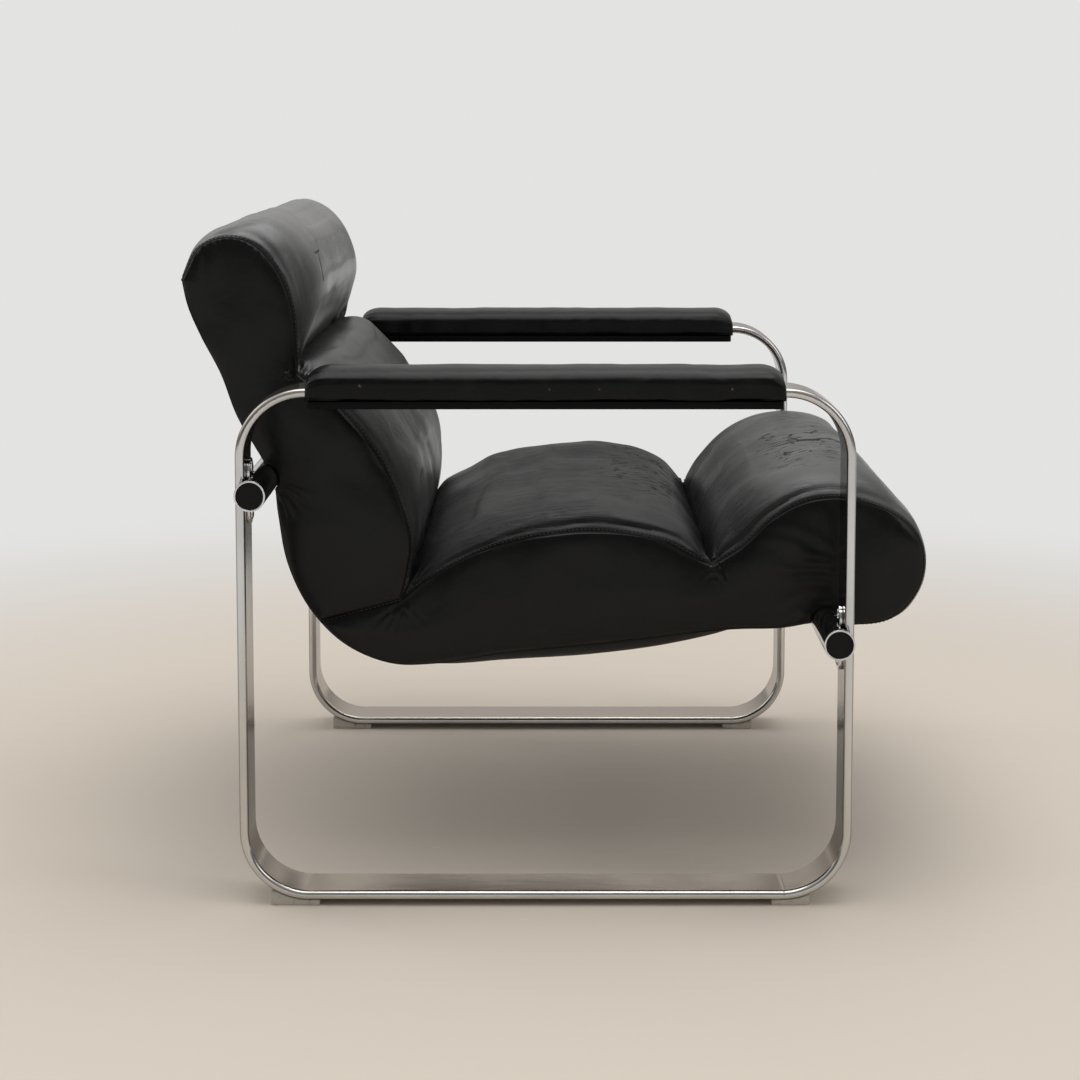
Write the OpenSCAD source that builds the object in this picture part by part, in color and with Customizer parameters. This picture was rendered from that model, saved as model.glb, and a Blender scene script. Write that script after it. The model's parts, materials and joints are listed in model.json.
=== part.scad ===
// Lounge chair: two closed side loops of flat oval chromed tube, joined by two
// round crossbars, carry one sewn shell of four padded rolls on a steel inner
// frame with rubber webbing. Millimetres, +X to the front, +Z up, floor at Z 0.

/* [Side frames] */
// Length of a side frame over the tube
frame_length = 650; // [600:5:700]
// Height of a side frame over the tube
frame_height = 549; // [530:1:600]
// Distance between the centre planes of the two side frames
frame_spacing = 670; // [660:5:740]
// Outside radius of a frame corner
corner_radius = 74; // [60:1:90]
// Width of the flat oval tube
tube_width = 60; // [50:1:64]
// Thickness of the flat oval tube
tube_thickness = 10; // [9:0.5:12]
// Wall of the flat oval tube
tube_wall = 2; // [1.5:0.1:2.2]

/* [Crossbars] */
// Diameter of a crossbar
bar_diameter = 33; // [30:0.5:36]
// Wall of a crossbar
bar_wall = 2; // [1.5:0.25:3]
// How far the front crossbar lies below the rear one
bar_drop = 158; // [148:1:168]
// How far a crossbar stands out past the side frame
bar_overhang = 9; // [8:0.5:14]
// Visible thickness of a mounting plate
plate_thickness = 4; // [3:0.5:5]
// Width of a mounting plate
plate_width = 30; // [24:1:36]
// Height of a mounting plate
plate_height = 70; // [66:1:80]
// Distance from the upper bend down to a rear mounting plate
rear_plate_gap = 3; // [2:0.5:12]
// Thread diameter of a plate screw
screw_diameter = 6; // [5:0.5:6.5]
// Length of the plug that closes a crossbar end
plug_length = 7; // [5:0.5:7.5]

/* [Glides] */
// Thickness of a glide under the tube
glide_thickness = 6; // [3:0.5:9]
// Height of a glide where it runs up the corner
glide_height = 15; // [12:0.5:18]
// Length of a rear glide
rear_glide_length = 52; // [44:1:60]
// Length of a front glide
front_glide_length = 40; // [34:1:60]
// Width of a glide
glide_width = 54; // [40:1:58]

/* [Armrests] */
// Distance from an end of an armrest to the bend of the tube
armrest_end_gap = 0.5; // [0:0.5:20]
// Width of an armrest
armrest_width = 74; // [70:1:78]
// Height of an armrest above the tube
armrest_rise = 24; // [22:1:34]
// Depth of the armrest pad below the tube
armrest_drop = 4; // [4:0.5:7]
// Thickness of the strip that closes an armrest below
armrest_base_thickness = 7; // [7:0.5:10]
// Thickness of the wooden core of an armrest
armrest_core_thickness = 10; // [8:0.5:14]
// Number of screws that hold an armrest
armrest_screw_count = 3; // [2:1:4]
// Thread diameter of an armrest screw
armrest_screw_diameter = 5; // [4:0.5:5.5]

/* [Upholstered shell] */
// Width of the shell over its side panels
shell_width = 537; // [500:1:545]
// Thickness of the leather
leather = 2; // [1.5:0.25:2.5]
// Thickness of a side panel, leather and lining
side_panel_thickness = 3; // [2:0.25:4]
// Thickness of the rear padding with its leather
rear_pad_thickness = 14; // [12:0.5:18]
// How full the four rolls are at mid width, as a share of the drawn fullness
fullness = 1; // [0.5:0.05:1.05]
// Rise of the rear padding at mid width
rear_crown = 4; // [2:0.5:8]
// Sag of the bottom lining at mid width
lining_sag = 26; // [8:1:36]

/* [Inner frame] */
// Depth of a side rail, across the shell
rail_depth = 20; // [18:0.5:24]
// Thickness of a side rail
rail_thickness = 8; // [6:0.5:10]
// Diameter of a cross member of the inner frame
cross_member_diameter = 16; // [14:0.5:18]
// Wall of a cross member
cross_member_wall = 2; // [1.5:0.25:2.5]
// Thickness of a bracket between inner frame and crossbar
bracket_thickness = 5; // [4:0.5:7]
// Width of a bracket
bracket_width = 20; // [16:1:20]
// Thread diameter of a bracket bolt
bolt_diameter = 8; // [6:0.5:8]
// Width of a rubber webbing strap
webbing_width = 50; // [40:1:54]
// Thickness of a rubber webbing strap
webbing_thickness = 2.5; // [2:0.25:3]
// Thickness of a webbing clip
clip_thickness = 1.4; // [1:0.1:1.6]

/* [Hidden] */

$fn = 48;

// Clearances between pieces that are pushed together, and of soft pieces
fit = 0.1;
seat_gap = 0.25;
// Overrun of every cut
over = 1;

left = 1;
right = -1;
rear = -1;
front = 1;

// Places of the side frames
frame_y = frame_spacing / 2;
frame_bottom = glide_thickness;
frame_top = frame_bottom + frame_height;
half_length = frame_length / 2;
leg_inner_x = half_length - tube_thickness;
tube_edge_y = frame_y + tube_width / 2;

// Places of the crossbars: each is flush with the outer face of the legs
bar_radius = bar_diameter / 2;
bar_x = half_length - bar_radius - fit;
bar_half_length = tube_edge_y + bar_overhang;
plate_face_x = leg_inner_x - plate_thickness;
rear_bar_height = frame_top - corner_radius - rear_plate_gap - plate_height / 2;
front_bar_height = rear_bar_height - bar_drop;
function bar_height(end) = end == rear ? rear_bar_height : front_bar_height;

// Proportions of screws, bolts and nuts, as shares of the thread diameter
head_width_share = 1.8;
dome_height_share = 0.55;
socket_width_share = 0.6;
hex_head_share = 0.65;
nut_height_share = 0.6;
insert_width_share = 1.5;
insert_collar_share = 1.8;
hexagon = 6;

// Screws of the mounting plates, and the inserts they turn into
screw_reach = bar_radius + (plate_height / 2 - bar_radius) / 2 - fit;
insert_diameter = screw_diameter * insert_width_share;
insert_length = tube_thickness - tube_wall - 2 * seat_gap;
insert_collar_diameter = screw_diameter * insert_collar_share;

// The shell hangs between the two crossbars, so its outline is given in shares
// of the distance between them: along X from the rear bar, up from the front bar.
bar_span = 2 * bar_x;
function outline(shares) = [for (s = shares) [s[0] * bar_span - bar_x, s[1] * bar_drop + front_bar_height]];

rear_seam_share = [-0.138, 2.38];
head_valley_share = [0.064, 1.734];
head_valley_mid_share = [0.08, 1.922];
seat_valley_share = [0.242, 0.153];
seat_valley_mid_share = [0.275, 0.496];
knee_valley_share = [0.797, 0.403];
knee_valley_mid_share = [0.788, 0.494];
underside_share = [0.967, -0.013];

// Each roll has one outline at its side seams and a fuller one at mid width

headrest_shares = [rear_seam_share, [-0.104, 2.61], [-0.054, 2.673], [-0.013, 2.624],
    [0.028, 2.456], [0.054, 2.2], [0.061, 1.924], head_valley_share];
back_shares = [head_valley_share, [0.135, 1.5], [0.201, 1.18], [0.238, 0.896],
    [0.261, 0.57], [0.256, 0.38], seat_valley_share];
seat_shares = [seat_valley_share, [0.285, 0.291], [0.383, 0.494], [0.49, 0.604],
    [0.598, 0.635], [0.704, 0.573], [0.775, 0.43], knee_valley_share];
front_roll_shares = [knee_valley_share, [0.847, 0.528], [0.901, 0.722], [0.964, 0.848],
    [1.037, 0.867], [1.115, 0.764], [1.16, 0.589], [1.171, 0.38], [1.151, 0.158],
    [1.106, 0.016], [1.045, -0.02], underside_share];
headrest_mid_shares = [rear_seam_share, [-0.126, 2.561], [-0.095, 2.698], [-0.051, 2.774],
    [-0.006, 2.819], [0.039, 2.763], [0.073, 2.636], [0.092, 2.468], [0.099, 2.284],
    [0.093, 2.101], head_valley_mid_share];
back_mid_shares = [head_valley_mid_share, [0.129, 1.816], [0.169, 1.668], [0.204, 1.502],
    [0.233, 1.316], [0.261, 1.131], [0.277, 0.925], [0.282, 0.711], seat_valley_mid_share];
seat_mid_shares = [seat_valley_mid_share, [0.331, 0.599], [0.386, 0.7], [0.446, 0.764],
    [0.507, 0.802], [0.568, 0.813], [0.63, 0.805], [0.69, 0.768], [0.746, 0.671],
    knee_valley_mid_share];
front_roll_mid_shares = [knee_valley_mid_share, [0.82, 0.691], [0.86, 0.866], [0.911, 0.99],
    [0.968, 1.064], [1.028, 1.076], [1.085, 1.007], [1.128, 0.847], [1.166, 0.664],
    [1.185, 0.443], [1.179, 0.211], [1.144, 0.026], [1.087, -0.039], [1.027, -0.028],
    underside_share];
rear_shares = [rear_seam_share, [-0.128, 2.2], [-0.106, 1.994], [-0.072, 1.734],
    [-0.044, 1.437], [-0.005, 1.171], [0.018, 1], [0.026, 0.76], [0.042, 0.411],
    [0.08, 0.095], [0.142, -0.158], [0.223, -0.294], [0.305, -0.297], [0.419, -0.228],
    [0.598, -0.158], [0.826, -0.057], [0.919, -0.045], underside_share];
// Stations along the rear outline, as shares of its length
lining_start_share = 0.565;
lining_end_share = 0.91;
side_seam_share = 0.425;

// A smooth curve through given points, with even spacing by chord length
function knot(a, b) = pow(norm(b - a), 0.5);
function blend(p, q, a, b, t) = p * (b - t) / (b - a) + q * (t - a) / (b - a);
function curve_point(a, b, c, d, f) =
    let (t1 = knot(a, b), t2 = t1 + knot(b, c), t3 = t2 + knot(c, d), t = t1 + (t2 - t1) * f,
         a1 = blend(a, b, 0, t1, t), a2 = blend(b, c, t1, t2, t), a3 = blend(c, d, t2, t3, t),
         b1 = blend(a1, a2, 0, t2, t), b2 = blend(a2, a3, t1, t3, t))
    blend(b1, b2, t1, t2, t);
curve_steps = 6;
function curve(p) =
    let (n = len(p), q = concat([2 * p[0] - p[1]], p, [2 * p[n - 1] - p[n - 2]]))
    concat([for (i = [0:n - 2]) for (k = [0:curve_steps - 1])
        curve_point(q[i], q[i + 1], q[i + 2], q[i + 3], k / curve_steps)], [p[n - 1]]);

// Points spaced evenly along a line, and the unit normals on its left side
function walked(p) = [for (i = 0, s = 0; i < len(p);
    s = s + (i + 1 < len(p) ? norm(p[i + 1] - p[i]) : 0), i = i + 1) s];
function spot(p, s, at) =
    let (i = min(len(p) - 2, len([for (v = s) if (v <= at) 1]) - 1))
    p[i] + (p[i + 1] - p[i]) * (at - s[i]) / (s[i + 1] - s[i]);
function spaced(p, n) =
    let (s = walked(p), total = s[len(s) - 1])
    [for (k = [0:n - 1]) spot(p, s, total * k / (n - 1))];
function unit(v) = v / norm(v);
function left_of(v) = unit([-v[1], v[0]]);
function normals(p, first, last) = let (n = len(p))
    [for (i = [0:n - 1]) i == 0 && !is_undef(first) ? first
        : i == n - 1 && !is_undef(last) ? last
        : left_of(p[min(i + 1, n - 1)] - p[max(i - 1, 0)])];
function flipped(p) = [for (i = [len(p) - 1:-1:0]) p[i]];
function turned(v) = atan2(v[1], v[0]);

// The rear outline, and a point at a station on it, at a depth into the shell. At
// the rear seam the depth is counted level, so that both sides of the seam meet.
rear_count = 81;
rear_line = spaced(curve(outline(rear_shares)), rear_count);
rear_normals = normals(rear_line, [1, 0]);
rear_total = walked(rear_line)[rear_count - 1];
function rear_at(share, depth) =
    let (k = share * (rear_count - 1), i = max(0, min(rear_count - 2, floor(k))), f = k - i,
         p = rear_line[i] + (rear_line[i + 1] - rear_line[i]) * f,
         n = unit(rear_normals[i] + (rear_normals[i + 1] - rear_normals[i]) * f))
    p + depth * n;
function rear_inward(share) = rear_at(share, 1) - rear_at(share, 0);
function rear_stretch(a, b, depth, n) = [for (k = [0:n - 1]) rear_at(a + (b - a) * k / (n - 1), depth)];
function station_near(p) =
    let (d = [for (q = rear_line) norm(q - p)])
    search(min(d), d)[0] / (rear_count - 1);

// Layers of the shell, counted inwards from the rear outline
rail_start = rear_pad_thickness;
rail_centre = rail_start + rail_depth / 2;
rail_end = rail_start + rail_depth;
webbing_start = rail_end + seat_gap;
clip_start = webbing_start + webbing_thickness + fit;
foam_start = clip_start + clip_thickness + 3 * seat_gap;

// Front lines of the rolls at the seams and at mid width, and the valley stations
columns = 13;
front_columns = 16;
headrest_line = spaced(curve(outline(headrest_shares)), columns);
headrest_mid = spaced(curve(outline(headrest_mid_shares)), columns);
back_line = spaced(curve(outline(back_shares)), columns);
back_mid = spaced(curve(outline(back_mid_shares)), columns);
seat_line = spaced(curve(outline(seat_shares)), columns);
seat_mid = spaced(curve(outline(seat_mid_shares)), columns);
front_line = spaced(curve(outline(front_roll_shares)), front_columns);
front_mid = spaced(curve(outline(front_roll_mid_shares)), front_columns);
head_station = station_near(outline([head_valley_share])[0]);
seat_station = station_near(outline([seat_valley_share])[0]);
knee_station = station_near(outline([knee_valley_share])[0]);

// The shell reaches as far back as its rear seam and as far forward as its front
// roll, and the chair stands with the middle of that reach over the origin.
rear_reach = min([for (p = headrest_line) p[0]]);
front_reach = max([for (p = front_line + fullness * (front_mid - front_line)) p[0]]);
origin_x = -(rear_reach + front_reach) / 2;

module placed() { translate([origin_x, 0, 0]) children(); }

// A flat outline in X and Z, given a thickness along Y from y to y + t
module slice(y, t) { translate([0, y + t, 0]) rotate([90, 0, 0]) linear_extrude(t) children(); }
module both_sides() { for (side = [left, right]) scale_y(side) children(); }
module scale_y(side) { if (side == left) children(); else mirror([0, 1, 0]) children(); }

// A round bar along Y
module bar_along_y(x, z, r, y, length) {
    translate([x, y + length, z]) rotate([90, 0, 0]) cylinder(r = r, h = length);
}

// Flat oval section of the tube, standing at a radius from the axis of a bend
module tube_section(radius, inset) {
    r = tube_thickness / 2 - inset;
    translate([radius, 0]) {
        square([2 * r, tube_width - tube_thickness], center = true);
        for (s = [-1, 1]) translate([0, s * (tube_width - tube_thickness) / 2]) circle(r = r);
    }
}

// The closed loop of the tube in the XZ plane
module tube_loop(inset) {
    bend = corner_radius - tube_thickness / 2;
    run_x = frame_length - 2 * corner_radius;
    run_z = frame_height - 2 * corner_radius;
    for (sx = [-1, 1]) for (sz = [-1, 1])
        translate([sx * run_x / 2, 0, sz * run_z / 2])
            rotate([-90, 0, 0])
                rotate([0, 0, sx > 0 ? (sz > 0 ? -90 : 0) : (sz > 0 ? 180 : 90)])
                    rotate_extrude(angle = 90) tube_section(bend, inset);
    for (sz = [-1, 1])
        translate([-run_x / 2, 0, sz * (run_z / 2 + bend)])
            rotate([0, 90, 0]) linear_extrude(run_x) tube_section(0, inset);
    for (sx = [-1, 1])
        translate([sx * (run_x / 2 + bend), 0, -run_z / 2])
            linear_extrude(run_z) tube_section(0, inset);
}

module side_frame(side) {
    color([0.78, 0.78, 0.78]) placed() difference() {
        translate([0, side * frame_y, frame_bottom + frame_height / 2]) difference() {
            tube_loop(0);
            tube_loop(tube_wall);
        }
        for (end = [rear, front]) for (up = [-1, 1])
            translate([end * (leg_inner_x - over), side * frame_y, bar_height(end) + up * screw_reach])
                rotate([0, end * 90, 0]) cylinder(d = insert_diameter + 2 * fit, h = tube_wall + 2 * over);
        armrest_screw_places(side)
            cylinder(d = armrest_screw_diameter + 4 * fit, h = frame_top + over);
    }
}

// Crossbars, notched where the side frames and their plates pass
module crossbar(end) {
    color([0.75, 0.75, 0.75]) placed() difference() {
        bar_along_y(end * bar_x, bar_height(end), bar_radius, -bar_half_length, 2 * bar_half_length);
        bar_along_y(end * bar_x, bar_height(end), bar_radius - bar_wall,
            -bar_half_length - over, 2 * (bar_half_length + over));
        both_sides()
            translate([end > 0 ? plate_face_x : -plate_face_x - bar_diameter,
                       frame_y - tube_width / 2 - fit, bar_height(end) - bar_diameter])
                cube([bar_diameter, tube_width + 2 * fit, 2 * bar_diameter]);
    }
}

module crossbar_plugs(end) {
    r = bar_radius - bar_wall - fit;
    dome = bar_wall / 4;
    color([0.06, 0.06, 0.06]) placed() both_sides()
        translate([end * bar_x, bar_half_length, bar_height(end)]) rotate([90, 0, 0])
            rotate_extrude() polygon([[0, 0], [r - 2 * bar_wall, dome / 2], [r - dome, dome],
                [r, 2 * dome], [r, plug_length], [0, plug_length]]);
}

// Oblong plates welded to a crossbar and screwed to the inner flats of the legs
module mounting_plates(end) {
    color([0.8, 0.8, 0.8]) placed() both_sides()
        translate([end * (leg_inner_x - fit), frame_y, bar_height(end)])
            rotate([0, -end * 90, 0]) difference() {
                linear_extrude(plate_thickness - fit) {
                    square([plate_height - plate_width, plate_width], center = true);
                    for (s = [-1, 1]) translate([s * (plate_height - plate_width) / 2, 0])
                        circle(d = plate_width);
                }
                for (s = [-1, 1]) translate([s * screw_reach, 0, -over])
                    cylinder(d = screw_diameter + 4 * fit, h = plate_thickness + 2 * over);
            }
}

module plate_screws(end) {
    color([0.85, 0.85, 0.85]) placed() both_sides() for (up = [-1, 1])
        translate([end * plate_face_x, frame_y, bar_height(end) + up * screw_reach])
            rotate([0, end * 90, 0]) {
                cylinder(d = screw_diameter, h = plate_thickness + insert_length - 2 * fit);
                screw_dome();
            }
}

// A domed head, seated on its flat, standing out towards -Z
module screw_dome() {
    rise = screw_diameter * dome_height_share;
    half = screw_diameter * head_width_share / 2;
    ball = (half * half + rise * rise) / (2 * rise);
    rotate([180, 0, 0]) difference() {
        intersection() {
            translate([0, 0, rise - ball]) sphere(r = ball);
            cylinder(r = half + over, h = rise + over);
        }
        translate([0, 0, rise / 2])
            cylinder(d = screw_diameter * socket_width_share, h = rise, $fn = hexagon);
    }
}

module plate_inserts(end) {
    color([0.7, 0.65, 0.45]) placed() both_sides() for (up = [-1, 1])
        translate([end * leg_inner_x, frame_y, bar_height(end) + up * screw_reach])
            rotate([0, end * 90, 0]) difference() {
                union() {
                    cylinder(d = insert_diameter, h = insert_length);
                    translate([0, 0, tube_wall + fit])
                        cylinder(d = insert_collar_diameter, h = insert_length - tube_wall - fit);
                }
                translate([0, 0, -over]) cylinder(d = screw_diameter + 2 * fit, h = insert_length + 2 * over);
            }
}

// Pads under the corners, hollowed on top to the bend of the tube; a share of
// their width is under the straight run
glide_straight_share = 0.19;
module glides(end, length) {
    straight = glide_width * glide_straight_share;
    inner_x = half_length - corner_radius - straight;
    color([0.8, 0.76, 0.68]) placed() both_sides() mirror_x(end)
        slice(frame_y - glide_width / 2, glide_width) difference() {
            translate([inner_x, 0]) square([length, glide_height]);
            translate([half_length - corner_radius, frame_bottom + corner_radius])
                circle(r = corner_radius + fit);
            translate([inner_x - over, frame_bottom - fit]) square([straight + over, glide_height]);
        }
}
module mirror_x(end) { if (end > 0) children(); else mirror([1, 0, 0]) children(); }

// Armrests: a wooden core on the tube, foam all round, a leather cover, and a
// leather strip that closes them below and takes the screws
armrest_end_share = 1.5;
armrest_draw_share = 0.08;
armrest_bottom = frame_top - tube_thickness - armrest_drop;
armrest_top = frame_top + armrest_rise;
armrest_length = frame_length - 2 * corner_radius - 2 * armrest_end_gap;
armrest_end_run = armrest_rise * armrest_end_share;
armrest_end_draw = armrest_width * armrest_draw_share;
armrest_ring_count = 16;
armrest_end_shares = [1, 0.92, 0.72, 0.4, 0];
armrest_roundness = 3.4;
core_length = armrest_length - 2 * armrest_end_run;
core_width = armrest_width - armrest_rise;
core_bite_share = 0.7;
armrest_screw_length = armrest_base_thickness + armrest_drop + tube_thickness
    + armrest_core_thickness * core_bite_share;

function armrest_ring(x, inset) =
    let (run = (abs(x) - armrest_length / 2 + armrest_end_run) / armrest_end_run,
         e = run > 0 ? sqrt(max(0, 1 - run * run)) : 1,
         half = armrest_width / 2 - armrest_end_draw * (1 - e) - inset,
         low = armrest_bottom + inset,
         high = frame_top - tube_thickness / 2 + armrest_drop + (armrest_top - frame_top) * e - inset,
         mid = (low + high) / 2, rise = (high - low) / 2)
    [for (k = [0:armrest_ring_count - 1])
        let (a = 360 * k / armrest_ring_count)
        [x * (1 - 2 * inset / armrest_length), half * squared(cos(a)), mid + rise * squared(sin(a))]];
function squared(c) = sign(c) * pow(abs(c), 2 / armrest_roundness);

module armrest_form(inset) {
    ends = [for (s = armrest_end_shares) armrest_length / 2 - armrest_end_run * (1 - s)];
    stations = concat([for (x = ends) -x], flipped(ends));
    tube_mesh([for (x = stations) armrest_ring(x, inset)]);
}

// A closed mesh over rings of points, with a flat cap on each end
module tube_mesh(rings) {
    n = len(rings[0]);
    m = len(rings);
    middle = [for (r = [rings[0], rings[m - 1]]) (r[0] + r[n / 2]) / 2];
    points = concat([for (r = rings) each r], middle);
    sides = [for (j = [0:m - 2]) for (i = [0:n - 1])
        let (a = j * n + i, b = j * n + (i + 1) % n) each [[a, b + n, b], [a, a + n, b + n]]];
    first = [for (i = [0:n - 1]) [i, (i + 1) % n, m * n]];
    last = [for (i = [0:n - 1]) [(m - 1) * n + i, m * n + 1, (m - 1) * n + (i + 1) % n]];
    polyhedron(points = points, faces = concat(sides, first, last), convexity = 6);
}

module armrest_tube_slot(side) {
    translate([-armrest_length, side * frame_y, frame_top - tube_thickness / 2])
        rotate([0, 90, 0]) linear_extrude(2 * armrest_length) tube_section(0, -seat_gap);
}

module armrest_core_block(side, grow) {
    translate([-core_length / 2 - grow, side * frame_y - core_width / 2 - grow, frame_top + seat_gap - grow])
        cube([core_length + 2 * grow, core_width + 2 * grow, armrest_core_thickness + 2 * grow]);
}

module armrest_screw_places(side) {
    pitch = core_length / armrest_screw_count;
    for (k = [0:armrest_screw_count - 1])
        translate([(k - (armrest_screw_count - 1) / 2) * pitch, side * frame_y,
            armrest_bottom - armrest_base_thickness - over])
            children();
}

module armrest_core(side) {
    color([0.72, 0.56, 0.36]) placed() difference() {
        armrest_core_block(side, 0);
        armrest_screw_places(side)
            cylinder(d = armrest_screw_diameter + 2 * fit, h = armrest_screw_length + over);
    }
}

module armrest_foam(side) {
    color([0.85, 0.78, 0.5]) placed() difference() {
        translate([0, side * frame_y, 0]) armrest_form(leather + fit);
        armrest_tube_slot(side);
        armrest_core_block(side, fit);
        armrest_screw_places(side) cylinder(d = armrest_screw_diameter + 4 * fit, h = frame_top);
    }
}

module armrest_cover(side) {
    color([0.09, 0.09, 0.09]) placed() difference() {
        translate([0, side * frame_y, 0]) difference() {
            armrest_form(0);
            armrest_form(leather);
        }
        armrest_tube_slot(side);
        armrest_screw_places(side)
            cylinder(d = armrest_screw_diameter + 4 * fit, h = armrest_base_thickness + armrest_drop + over);
    }
}

module armrest_base(side) {
    round = armrest_end_draw;
    length = armrest_length - 2 * round;
    width = armrest_width - round / 2;
    color([0.08, 0.08, 0.08]) placed() difference() {
        translate([0, side * frame_y, armrest_bottom - armrest_base_thickness])
            linear_extrude(armrest_base_thickness - seat_gap) {
                square([length - 2 * round, width], center = true);
                square([length, width - 2 * round], center = true);
                for (sx = [-1, 1]) for (sy = [-1, 1])
                    translate([sx * (length / 2 - round), sy * (width / 2 - round)]) circle(r = round);
            }
        armrest_screw_places(side) {
            cylinder(d = armrest_screw_diameter + 4 * fit, h = armrest_base_thickness + 2 * over);
            cylinder(d = armrest_screw_diameter * head_width_share + 4 * fit,
                h = over + armrest_base_thickness / 2 + fit);
        }
    }
}

module armrest_screws(side) {
    head = armrest_base_thickness / 2 - 2 * seat_gap;
    color([0.7, 0.7, 0.7]) placed() armrest_screw_places(side)
        translate([0, 0, over + 2 * seat_gap]) difference() {
            union() {
                cylinder(d = armrest_screw_diameter * head_width_share, h = head);
                cylinder(d = armrest_screw_diameter, h = armrest_screw_length - 4 * seat_gap);
            }
            translate([0, 0, -over])
                cylinder(d = armrest_screw_diameter * socket_width_share, h = over + head / 2, $fn = hexagon);
        }
}

// Inner frame: side rails on edge, round cross members, brackets to the crossbars
shell_half = shell_width / 2;
inner_half = shell_half - side_panel_thickness - fit;
nut_height = bolt_diameter * nut_height_share;
rail_outer_y = inner_half - nut_height - 2 * seat_gap;
rail_inner_y = rail_outer_y - rail_thickness;
rail_share_first = 0.012;
rail_share_last = 0.994;
member_shares = [0.035, 0.17, 0.47, 0.93];
rear_bolt_share = station_near([-bar_x, rear_bar_height]);
front_bolt_share = rail_share_last - bracket_width / 2 / rear_total;
function bolt_share(end) = end == rear ? rear_bolt_share : front_bolt_share;
function bolt_place(end) = rear_at(bolt_share(end), rail_centre);

module layer(a, b, near, far, n) {
    polygon(concat(rear_stretch(a, b, near, n), flipped(rear_stretch(a, b, far, n))));
}

module bolt_holes() {
    for (end = [rear, front])
        bar_along_y(bolt_place(end)[0], bolt_place(end)[1], bolt_diameter / 2 + 2 * fit,
            -shell_width, 2 * shell_width);
}

module frame_rail(side) {
    color([0.25, 0.25, 0.27]) placed() scale_y(side) difference() {
        slice(rail_inner_y, rail_thickness)
            layer(rail_share_first, rail_share_last, rail_start, rail_end, rear_count);
        bolt_holes();
    }
}

module cross_member(k) {
    p = rear_at(member_shares[k], rail_centre);
    color([0.25, 0.25, 0.27]) placed() difference() {
        bar_along_y(p[0], p[1], cross_member_diameter / 2, -rail_inner_y, 2 * rail_inner_y);
        bar_along_y(p[0], p[1], cross_member_diameter / 2 - cross_member_wall,
            -rail_inner_y - over, 2 * (rail_inner_y + over));
    }
}

// Flat brackets beside the rails, hollowed to fit the crossbar they are welded to
module bracket_outline(end, grow) {
    bar = [end * bar_x, bar_height(end)];
    reach = bolt_place(end) - bar;
    translate(bar) difference() {
        rotate(turned(reach)) {
            translate([0, -bracket_width / 2 - grow]) square([norm(reach), bracket_width + 2 * grow]);
            translate([norm(reach), 0]) circle(d = bracket_width + 2 * grow);
        }
        circle(r = bar_radius + fit - grow);
    }
}

module bar_brackets(end) {
    color([0.3, 0.3, 0.32]) placed() both_sides() difference() {
        slice(rail_inner_y - bracket_thickness, bracket_thickness) bracket_outline(end, 0);
        bolt_holes();
    }
}

module bracket_bolts() {
    color([0.6, 0.6, 0.62]) placed() both_sides() for (end = [rear, front]) {
        p = bolt_place(end);
        bar_along_y(p[0], p[1], bolt_diameter / 2, rail_inner_y - bracket_thickness,
            bracket_thickness + rail_thickness + nut_height);
        translate([p[0], rail_inner_y - bracket_thickness, p[1]]) rotate([90, 0, 0])
            cylinder(d = bolt_diameter * head_width_share, h = bolt_diameter * hex_head_share, $fn = hexagon);
    }
}

module bracket_nuts() {
    color([0.6, 0.6, 0.62]) placed() both_sides() for (end = [rear, front]) {
        p = bolt_place(end);
        translate([p[0], rail_outer_y + nut_height, p[1]]) rotate([90, 0, 0]) difference() {
            cylinder(d = bolt_diameter * head_width_share, h = nut_height, $fn = hexagon);
            translate([0, 0, -over]) cylinder(d = bolt_diameter + 2 * fit, h = nut_height + 2 * over);
        }
    }
}

// Rubber webbing straps across the rails, with a steel clip over each end
back_web_count = 4;
seat_web_count = 6;
back_web_shares = [0.09, 0.39];
seat_web_shares = [0.5, 0.93];
web_half_share = webbing_width / 2 / rear_total;
web_steps = 5;
function web_centre(range, count, k) = range[0] + (range[1] - range[0]) * k / (count - 1);

module webbing(range, count, start, thickness) {
    for (k = [0:count - 1]) {
        c = web_centre(range, count, k);
        layer(c - web_half_share, c + web_half_share, start, start + thickness, web_steps);
    }
}

module straps(range, count) {
    color([0.28, 0.22, 0.16]) placed()
        slice(-rail_outer_y, 2 * rail_outer_y) webbing(range, count, webbing_start, webbing_thickness);
}

module clips(range, count) {
    color([0.65, 0.65, 0.66]) placed() both_sides()
        slice(rail_inner_y, rail_thickness) webbing(range, count, clip_start, clip_thickness);
}

// Rolls: rows of points across the shell. At the side seams a row follows the
// seam line, and it soon swells to the mid line, so that the sides are drawn in.
rows = 9;
crown_power = 8;
function across(j) = sin(180 * j / (rows - 1) - 90);
function crown_at(u) = sqrt(max(0, 1 - pow(abs(u), crown_power)));
function row_of(line, u) = [for (p = line) [p[0], u * inner_half, p[1]]];
function straight_rows(line) = [for (j = [0:rows - 1]) row_of(line, across(j))];
function sunk(line, depth, first, last) =
    let (out = normals(line, first, last)) [for (i = [0:len(line) - 1]) line[i] - depth * out[i]];
function swollen_rows(line, mid, depth, first, last) =
    [for (j = [0:rows - 1]) let (u = across(j))
        row_of(sunk(line + crown_at(u) * (mid - line), depth, first, last), u)];

// The rear outline swells outwards between two stations
function swell(t) = sqrt(max(0, sin(180 * t)));
function rear_mid(a, b, rise, n) =
    [for (k = [0:n - 1]) let (t = k / (n - 1)) rear_at(a + (b - a) * t, -rise * swell(t))];

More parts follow.
